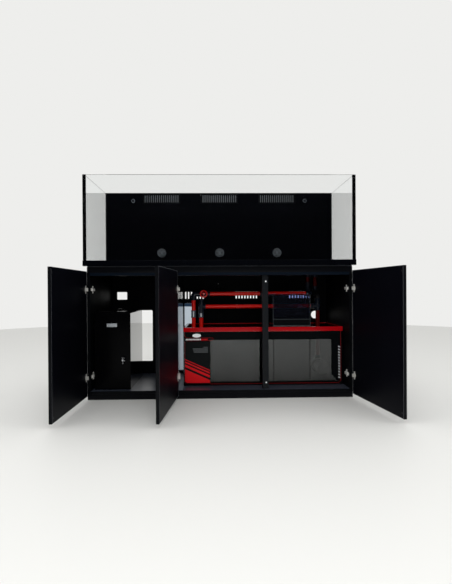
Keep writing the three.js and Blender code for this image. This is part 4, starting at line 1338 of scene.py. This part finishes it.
@dataclass
class Sump:
    """Glass sump with its rim, printed film, baffles, filter and refill box."""

    film: float = 0.4            # thickness of the printed film
    line: float = 2.2            # width of the red outline
    stripe_drop: float = 0.45    # fall of the stripes along the panel

    def build(self) -> None:
        """Builds and dresses the sump."""
        glass = Shape(SUMP_GLASS).cad("sump_tank", 0.8)
        glass.piece("sump_glass_box", "stand", ["sump_tank"], smooth=False)
        self.rim()
        self.film_frame()
        self.stripes()
        self.outline()
        for name in BAFFLES:
            reface(name, CLEAR_ACRYLIC, 0.5, "sheet")
        self.seams()
        reface("refill_box", CLEAR_ACRYLIC, 0.6, "clear")
        self.refill_edges()
        dress("filter_tray", CLEAR_ACRYLIC)
        self.shade_sheets()
        self.filter_cup()

    def seams(self) -> None:
        """Black seams where the baffles meet the front glass, with a dark line on the glass."""
        shape = Shape(SILICONE)
        for name in BAFFLES:
            low, high = span(name)
            for x0, x1 in ((low.x - 3, low.x - 0.1), (high.x + 0.1, high.x + 3)):
                shape.slab((x0, low.y + 0.2, low.z + 1), (x1, low.y + 3.5, high.z - 1), 1.2)
            shape.slab((low.x, low.y - 0.5, low.z + 1), (high.x, low.y - 0.05, high.z - 1), 0)
        shape.piece("baffle_seams", "stand", smooth=False)
        half = 1.6
        lines = Shape(FILM_BLACK)
        front = span("sump_tank")[0].y
        _, _, bottom, top = self.window()
        for name in BAFFLES:
            x = middle(name).x
            lines.panel((x - half, x + half), (bottom, top), (front - self.film * 0.5, front))
        lines.piece("sump_window_lines", "stand", smooth=False)

    def refill_edges(self) -> None:
        """Edges of the raised box, its two shelves and the seams between them, with the light they gather
        painted in grey.
        """
        low, high = span("refill_box")
        shelf = 8.0
        x0, x1 = low.x + shelf, high.x - shelf
        y = low.y - 0.3
        thick = 1.5
        shape = Shape(ACRYLIC_EDGE)
        for x in (x0, x1 - thick):
            shape.slab((x, y, low.z + 6), (x + thick, low.y, high.z - 1), 0)
        for z in (low.z + 8, low.z + 52):
            shape.slab((x0 + thick, y, z), (x1 - thick, low.y, z + 1.6), 0)
        shape.piece("refill_box_edges", "stand", smooth=False)
        film = Shape(FILM_BLACK)
        film.slab((x0 + thick, low.y - 0.2, low.z + 9.6), (x1 - thick, low.y - 0.05, low.z + 52), 0)
        film.piece("refill_box_film", "stand", smooth=False)

    def shade_sheets(self) -> None:
        """Black sheets inside the sump's rear and ends: painted shade that makes it look dark through the
        glass.
        """
        low, high = span("sump_tank")
        shape = Shape(BLACK_SHEET)
        wall = 8.4
        x0, x1 = low.x + wall, high.x - wall
        y0, y1 = low.y + wall, high.y - wall
        floor, top = low.z + 9, high.z - 20
        shape.slab((x0, y1 - 2, floor), (x1, y1, top), 0)
        shape.slab((x0, y0, floor), (x0 + 2, y1 - 3, top), 0)
        shape.slab((x1 - 2, y0, floor), (x1, y1 - 3, top), 0)
        shape.slab((x0, y0, low.z + 8.2), (x1, y1, floor), 0)
        shape.piece("sump_painted_shade_sheets", "stand", smooth=False)

    def rim(self) -> None:
        """The red rim, a cap with rounded edges over the top of the glass."""
        low, high = span("sump_rim")
        skirt, cap, inner, soft = 2.7, 4.0, 19.0, 1.6
        section = [(0, low.z + 0.5), (0.5, low.z), (skirt, low.z), (skirt, high.z - cap),
                   (inner, high.z - cap), (inner, high.z - soft), (inner - soft, high.z)]
        for step in range(5):
            angle = math.radians(90 * step / 4)
            section.append((soft * (1 - math.sin(angle)), high.z - soft * (1 - math.cos(angle))))
        Shape(RED_RIM).frame_ring(low, high, section, 4.0).piece("sump_rim_red", "stand", ["sump_rim"])

    def window(self) -> tuple[float, float, float, float]:
        """Left, right, bottom and top of the clear window between the printed bands."""
        low, high = span("sump_tank")
        rim_low, _ = span("sump_rim")
        return low.x + 184, high.x - 78, low.z + 22, rim_low.z - 58

    def film_frame(self) -> None:
        """Black printed film round the window: top and bottom bands, right band and left panel."""
        low, high = span("sump_tank")
        rim_low, _ = span("sump_rim")
        left, right, bottom, top = self.window()
        y = (low.y - self.film, low.y)
        x0, x1 = low.x + 2, high.x - 2
        z0, z1 = low.z + 2, rim_low.z - 1
        chamfer = 46.0
        shape = Shape(FILM_BLACK)
        shape.panel((x0, x1), (top, z1), y)
        shape.panel((left, x1), (z0, bottom), y)
        shape.plate([(right, bottom + chamfer), (right + 4, bottom + chamfer), (right + chamfer, bottom),
                     (x1, bottom), (x1, top), (right, top)], *y)
        shape.panel((x0, left), (z0, top), y)
        shape.piece("sump_printed_film", "stand", smooth=False)

    def stripes(self) -> None:
        """The left panel: a grey ground, red stripes that fall to the right, a plain badge and bars."""
        low, _ = span("sump_tank")
        left, _, _, top = self.window()
        x0, x1 = low.x + 10, left - 3
        ground = (low.y - self.film * 2, low.y - self.film)
        print_on = (ground[0] - self.film, ground[0])
        fall = (x1 - x0) * self.stripe_drop
        z_base = low.z + 20
        z_top = top - 10
        shape = Shape(FILM_GREY, FILM_RED, PALE_PRINT_AND_HIGHLIGHT, FILM_MID)
        shape.panel((x0, x1), (z_base, z_top), ground)
        shape.use(1)
        corner = 12.0
        solid = z_base + 96
        shape.plate([(x0 + corner, z_base), (x1, z_base), (x1, solid - fall), (x0, solid),
                     (x0, z_base + corner)], *print_on)
        for start, thick in ((112, 17), (140, 10), (160, 6)):
            z = z_base + start
            shape.plate([(x0, z), (x1, z - fall), (x1, z - fall + thick), (x0, z + thick)], *print_on)
        shape.use(3)
        rows, row_pitch, row = 5, 6.6, 3.2
        for index in range(rows):
            z = z_top - 76 + index * row_pitch
            start = x0 + 52 + (rows - 1 - index) * 2
            shape.panel((start, x1 - 14), (z, z + row), print_on)
        shape.panel((x1 - 44, x1 - 14), (z_top - 41, z_top - 37), print_on)
        shape.use(2)
        wide, tall = 30.0, 13.0
        x, z = (x0 + x1) / 2 - 5, z_top + 42
        oval = [(x + wide * math.cos(angle), z + tall * math.sin(angle)) for angle in angles(32)]
        shape.plate(oval, *ground)
        bar_z = z_top + 10
        bars, red_bars, bar, lean, high = 11, 5, 8.0, 3.0, 10.0
        for index in range(bars + red_bars):
            shape.use(2 if index < bars else 1)
            x = x0 + 4 + index * (bar + 1.6)
            shape.plate([(x, bar_z), (x + bar - 2, bar_z), (x + bar - 2 + lean, bar_z + high),
                         (x + lean, bar_z + high)], *ground)
        shape.piece("sump_decor_panel", "stand", smooth=False)

    def strip(self, shape: Shape, points: Sequence[tuple[float, float]], y: float) -> None:
        """Adds a thin printed line along points in X and Z.

        Args:
            shape: the shape it joins.
            points: the line's corners.
            y: the face that it lies on.
        """
        half = self.line / 2
        for (xa, za), (xb, zb) in zip(points, points[1:]):
            along = Vector((xb - xa, zb - za)).normalized()
            across = Vector((-along.y, along.x)) * half
            shape.plate([(xa - across.x, za - across.y), (xb - across.x, zb - across.y),
                         (xb + across.x, zb + across.y), (xa + across.x, za + across.y)],
                        y - self.film * 0.8, y)

    def outline(self) -> None:
        """The red outline round the printed film, and pale hatch marks down its right side."""
        low, high = span("sump_tank")
        left, _, _, top = self.window()
        rim_low, _ = span("sump_rim")
        y = low.y - self.film
        x0, x1 = low.x + 8, high.x - 12
        z0, z1 = low.z + 12, rim_low.z - 2
        cut = 16.0
        shape = Shape(FILM_DEEP_RED, PALE_PRINT_AND_HIGHLIGHT)
        self.strip(shape, [(left - 2, z0), (x1 - cut, z0), (x1, z0 + cut), (x1, z1)], y)
        tab = left - 12
        self.strip(shape, [(x0, z1), (x0, top + 30), (x0 + 12, top + 16), (tab, top + 16),
                           (left + 14, top + 16), (left + 22, top + 9), (left + 14, top - 3),
                           (x0 + 12, top - 3)], y - self.film)
        self.strip(shape, [(x0, top - 8), (x0, z0 + 10)], y)
        shape.use(1)
        marks, pitch = 12, 19.5
        for index in range(marks):
            z = low.z + 44 + index * pitch
            shape.plate([(x1 - 18, z + 5), (x1 - 5, z), (x1 - 5, z + 5), (x1 - 18, z + 10)],
                        y - self.film * 0.8, y)
        shape.piece("sump_film_outline", "stand", smooth=False)

    def filter_cup(self) -> None:
        """Felt cup with a plastic collar, hanging in the tray."""
        low, high = span("filter_cup")
        centre = (low + high) / 2
        outer = (high.x - low.x) / 2
        depth = high.z - low.z
        shape = Shape(FELT, BLACK_PVC)
        profile = [(0, 0), (30, 0)]
        waves = 7
        for index in range(waves):
            start = 6 + index * (depth - 18) / waves
            profile += [(46 + 1.5 * (index > 0), start), (50.5, start + (depth - 18) / waves * 0.5)]
        profile += [(49, depth - 6), (47, depth - 6), (46, 14), (38, 4), (0, 4)]
        shape.turned((centre.x, centre.y, low.z), "z", profile, 56)
        shape.use(1)
        collar = [(47.2, -9), (50.8, -9), (51, -4.7), (outer - 0.6, -4.7), (outer, -4), (outer, -0.8),
                  (outer - 1, 0), (48.4, 0), (47.2, -1.2)]
        shape.turned((centre.x, centre.y, high.z), "z", collar, 56, closed=True)
        shape.piece("filter_cup_felt", "filter_cup", ["filter_cup"])


# ---------------------------------------------------------------- reservoir
@dataclass
class Reservoir:
    """Black top-up reservoir with its lid, blank plate and tap."""

    edge: float = 1.2
    bowing: float = 0.062        # slope of the polished sides' bow

    def build(self) -> None:
        """Builds and dresses the reservoir."""
        box = Shape(RESERVOIR_SHEET, MIRROR_SHEET).cad("reservoir_body", self.edge)
        sides = span("reservoir_body")
        for face in box.bm.faces:
            at_side = any(abs(face.calc_center_median().x - corner.x) < 0.1 for corner in sides)
            face.material_index = 1 if at_side else 0
        made = box.piece("reservoir_box", "stand", ["reservoir_body"], smooth=False)
        self.bow(made.data)
        self.lid()
        self.plate()
        self.tap()

    def bow(self, mesh: bpy.types.Mesh) -> None:
        """Shades the polished sides as if the thin sheet were bowed a little towards the rear.

        Args:
            mesh: the reservoir's mesh.
        """
        normals = [Vector((0, 0, 0))] * len(mesh.loops)
        for face in mesh.polygons:
            normal = face.normal.copy()
            if face.material_index == 1 and abs(normal.x) > 0.9:
                normal = (normal + Vector((0, self.bowing, 0))).normalized()
            for loop in face.loop_indices:
                normals[loop] = normal
        mesh.normals_split_custom_set(normals)

    def lid(self) -> None:
        """Lid with a turned knob and an inner lip."""
        low, high = span("reservoir_lid")
        top = span("reservoir_body")[1].z
        lip = 6.0
        shape = Shape(RESERVOIR_SHEET)
        shape.slab((low.x, low.y, top), (high.x, high.y, top + 6), 1.2)
        shape.frame_ring((low.x + lip, low.y + lip), (high.x - lip, high.y - lip),
                         [(0, low.z), (4, low.z), (4, top + 1), (0, top + 1)], 2)
        centre = ((low.x + high.x) / 2, (low.y + high.y) / 2, top + 6)
        rise = high.z - top - 6
        shape.turned(centre, "z", [(0, -0.5), (14, -0.5), (12.5, 2), (12.5, rise - 8), (16, rise - 5),
                                   (17, rise - 3), (16, rise - 0.6), (13, rise), (0, rise)])
        shape.piece("reservoir_lid_sheet", "reservoir_lid", ["reservoir_lid"])

    def plate(self) -> None:
        """A blank metal plate with two small rivets."""
        low, high = span("reservoir_body")
        x0, x1 = low.x + 82, low.x + 150
        z0, z1 = high.z - 93, high.z - 70
        shape = Shape(PLATE_METAL, NICKEL)
        shape.slab((x0, low.y - 1.2, z0), (x1, low.y - 0.05, z1), 0.5)
        shape.use(1)
        for x in (x0 + 5, x1 - 5):
            shape.turned((x, low.y - 1.1, (z0 + z1) / 2), "-y", [(0, 0), (2, 0), (1.6, 0.8), (0, 1)], 16)
        shape.piece("reservoir_blank_plate", "stand")

    def tap(self) -> None:
        """Metal tap with a flange, a spout and a lever."""
        low, high = span("tap_body")
        lever_low, lever_high = span("tap_lever")
        x = (low.x + high.x) / 2
        front = span("reservoir_body")[0].y
        z = low.z + 26
        stem_y = lever_high.y - 7
        shape = Shape(CHROME)
        shape.turned((x, front, z), "-y", [
            (0, -9), (6.8, -9), (6.8, 0), (12.2, 0), (13, 0.8), (13, 2.6), (11, 4), (8.2, 5), (7.2, 8),
            (7.2, 14), (8, 16), (8, 24), (6.6, 26), (0, 26)], 40)
        shape.turned((x, stem_y, z), "z", [
            (4, -26), (5.4, -26), (6, -25), (5.6, -12), (6, 0), (6.5, 3), (6.4, 11.4), (5.8, 12), (0, 12),
            (0, -4), (4, -6)], 32)
        shape.piece("tap_body_turned", "stand", ["tap_body"])
        shape = Shape(CHROME)
        cap = [(0, 0), (6.6, 0), (7, 0.5), (7, 5.4), (5.6, 6.8), (0, 7)]
        shape.turned((x, stem_y, lever_low.z), "z", cap, 32)
        shape.slab((x - 3.4, lever_low.y + 5, lever_low.z + 2.2), (x + 3.4, stem_y, lever_low.z + 5.6), 1.5)
        shape.turned((x, lever_low.y + 6, lever_low.z + 3.9), "-y",
                     [(0, -4), (3.2, -3.6), (3.5, 0), (3.1, 4), (1.7, 5.6), (0, 5.8)], 24)
        shape.piece("tap_lever_turned", "tap_lever", ["tap_lever"])


# ---------------------------------------------------------------- stage
@dataclass
class Studio:
    """Camera, floor and light."""

    eye: Vector = field(default_factory=lambda: Vector((-0.0315, -3.1117, 0.7173)))
    yaw: float = 1.376           # degrees to the right of +Y
    pitch: float = -0.205        # degrees up
    roll: float = 0.34           # degrees, level lines rise to the right
    lens: float = 25.98
    floor_radius: float = 6.5    # metres
    backdrop: str = "#eeeeec"
    behind: str = "#101216"      # what the object mirrors from the dark end of the room

    def build(self) -> None:
        """Sets up the camera, the floor and the lights."""
        self.camera()
        self.floor()
        self.light()

    def camera(self) -> None:
        """Places the camera at standing-back height in front of the cabinet."""
        data = bpy.data.cameras.new("view")
        data.lens = self.lens
        data.clip_start = 0.05
        camera = bpy.data.objects.new("view", data)
        turn = Matrix.Rotation(math.radians(-self.yaw), 4, "Z")
        tilt = Matrix.Rotation(math.radians(90 + self.pitch), 4, "X")
        spin = Matrix.Rotation(math.radians(-self.roll), 4, "Z")
        camera.matrix_world = Matrix.Translation(self.eye) @ turn @ tilt @ spin
        bpy.context.scene.collection.objects.link(camera)
        bpy.context.scene.camera = camera

    def floor(self) -> None:
        """A large plain pale floor."""
        mesh = bpy.data.meshes.new("floor")
        rim = [(self.floor_radius * math.cos(angle), self.floor_radius * math.sin(angle), 0)
               for angle in angles(96)]
        mesh.from_pydata(rim, [], [list(range(len(rim)))])
        floor = bpy.data.objects.new("floor", mesh)
        bpy.context.scene.collection.objects.link(floor)
        material = bpy.data.materials.new("pale_floor")
        material.use_nodes = True
        shader = material.node_tree.nodes["Principled BSDF"]
        shader.inputs["Base Color"].default_value = linear("#dcdcda")
        shader.inputs["Roughness"].default_value = 0.55
        mesh.materials.append(material)

    def light(self) -> None:
        """A pale world whose mirror image is dark low behind the viewer, and soft boxes."""
        bpy.context.scene.view_settings.view_transform = "Standard"
        world = bpy.data.worlds.new("studio")
        bpy.context.scene.world = world
        world.use_nodes = True
        tree = world.node_tree
        tree.nodes.clear()
        direction = add_node(tree, "TexCoord").outputs["Generated"]
        split = add_node(tree, "SeparateXYZ", Vector=direction)
        behind = add_node(tree, "MapRange", {"interpolation_type": "SMOOTHSTEP", "inputs": {
            "From Min": -0.2, "From Max": -0.6, "To Min": 0.0, "To Max": 1.0,
        }}, Value=split.outputs["Y"])
        low = add_node(tree, "MapRange", {"interpolation_type": "SMOOTHSTEP", "inputs": {
            "From Min": 0.75, "From Max": 0.5, "To Min": 0.0, "To Max": 1.0,
        }}, Value=split.outputs["Z"])
        both = add_node(tree, "Math", {"operation": "MULTIPLY"})
        tree.links.new(behind.outputs["Result"], both.inputs[0])
        tree.links.new(low.outputs["Result"], both.inputs[1])
        mirrored = add_node(tree, "Math", {"operation": "MULTIPLY"})
        tree.links.new(both.outputs["Value"], mirrored.inputs[0])
        tree.links.new(add_node(tree, "LightPath").outputs["Is Glossy Ray"], mirrored.inputs[1])
        colour = add_node(tree, "Mix", {"data_type": "RGBA"})
        colour.inputs[6].default_value = linear(self.backdrop)
        colour.inputs[7].default_value = linear(self.behind)
        tree.links.new(mirrored.outputs["Value"], colour.inputs["Factor"])
        back = add_node(tree, "Background", {"inputs": {"Strength": 1.0}}, Color=colour.outputs[2])
        add_node(tree, "OutputWorld", Surface=back.outputs["Background"])
        for name, place, size, power, shows in (
            ("overhead", (0, -0.4, 3.6), 3.0, 30, True), ("front", (0, -4.2, 1.9), 2.4, 60, False),
            ("left", (-3.4, -1.6, 2.2), 1.6, 14, False), ("right", (3.4, -1.6, 2.2), 1.6, 14, False),
        ):
            data = bpy.data.lights.new(name, "AREA")
            data.shape = "SQUARE"
            data.size = size
            data.energy = power
            lamp = bpy.data.objects.new(name, data)
            lamp.location = place
            lamp.visible_glossy = shows
            lamp.visible_transmission = shows
            lamp.rotation_euler = (Vector((0, 0, 0.5)) - Vector(place)).to_track_quat("-Z", "Y").to_euler()
            bpy.context.scene.collection.objects.link(lamp)


def main() -> None:
    """Builds every sub-assembly in order."""
    logging.basicConfig(level=logging.INFO, format="%(name)s: %(message)s")
    Studio().build()
    Cabinet().build()
    for name, side in (("left", -1), ("middle", -1), ("right", 1)):
        Door(name, side).build()
    Tank().build()
    Pipework().build()
    Sump().build()
    Reservoir().build()
    bpy.context.view_layer.update()


if __name__ == "__main__":
    main()
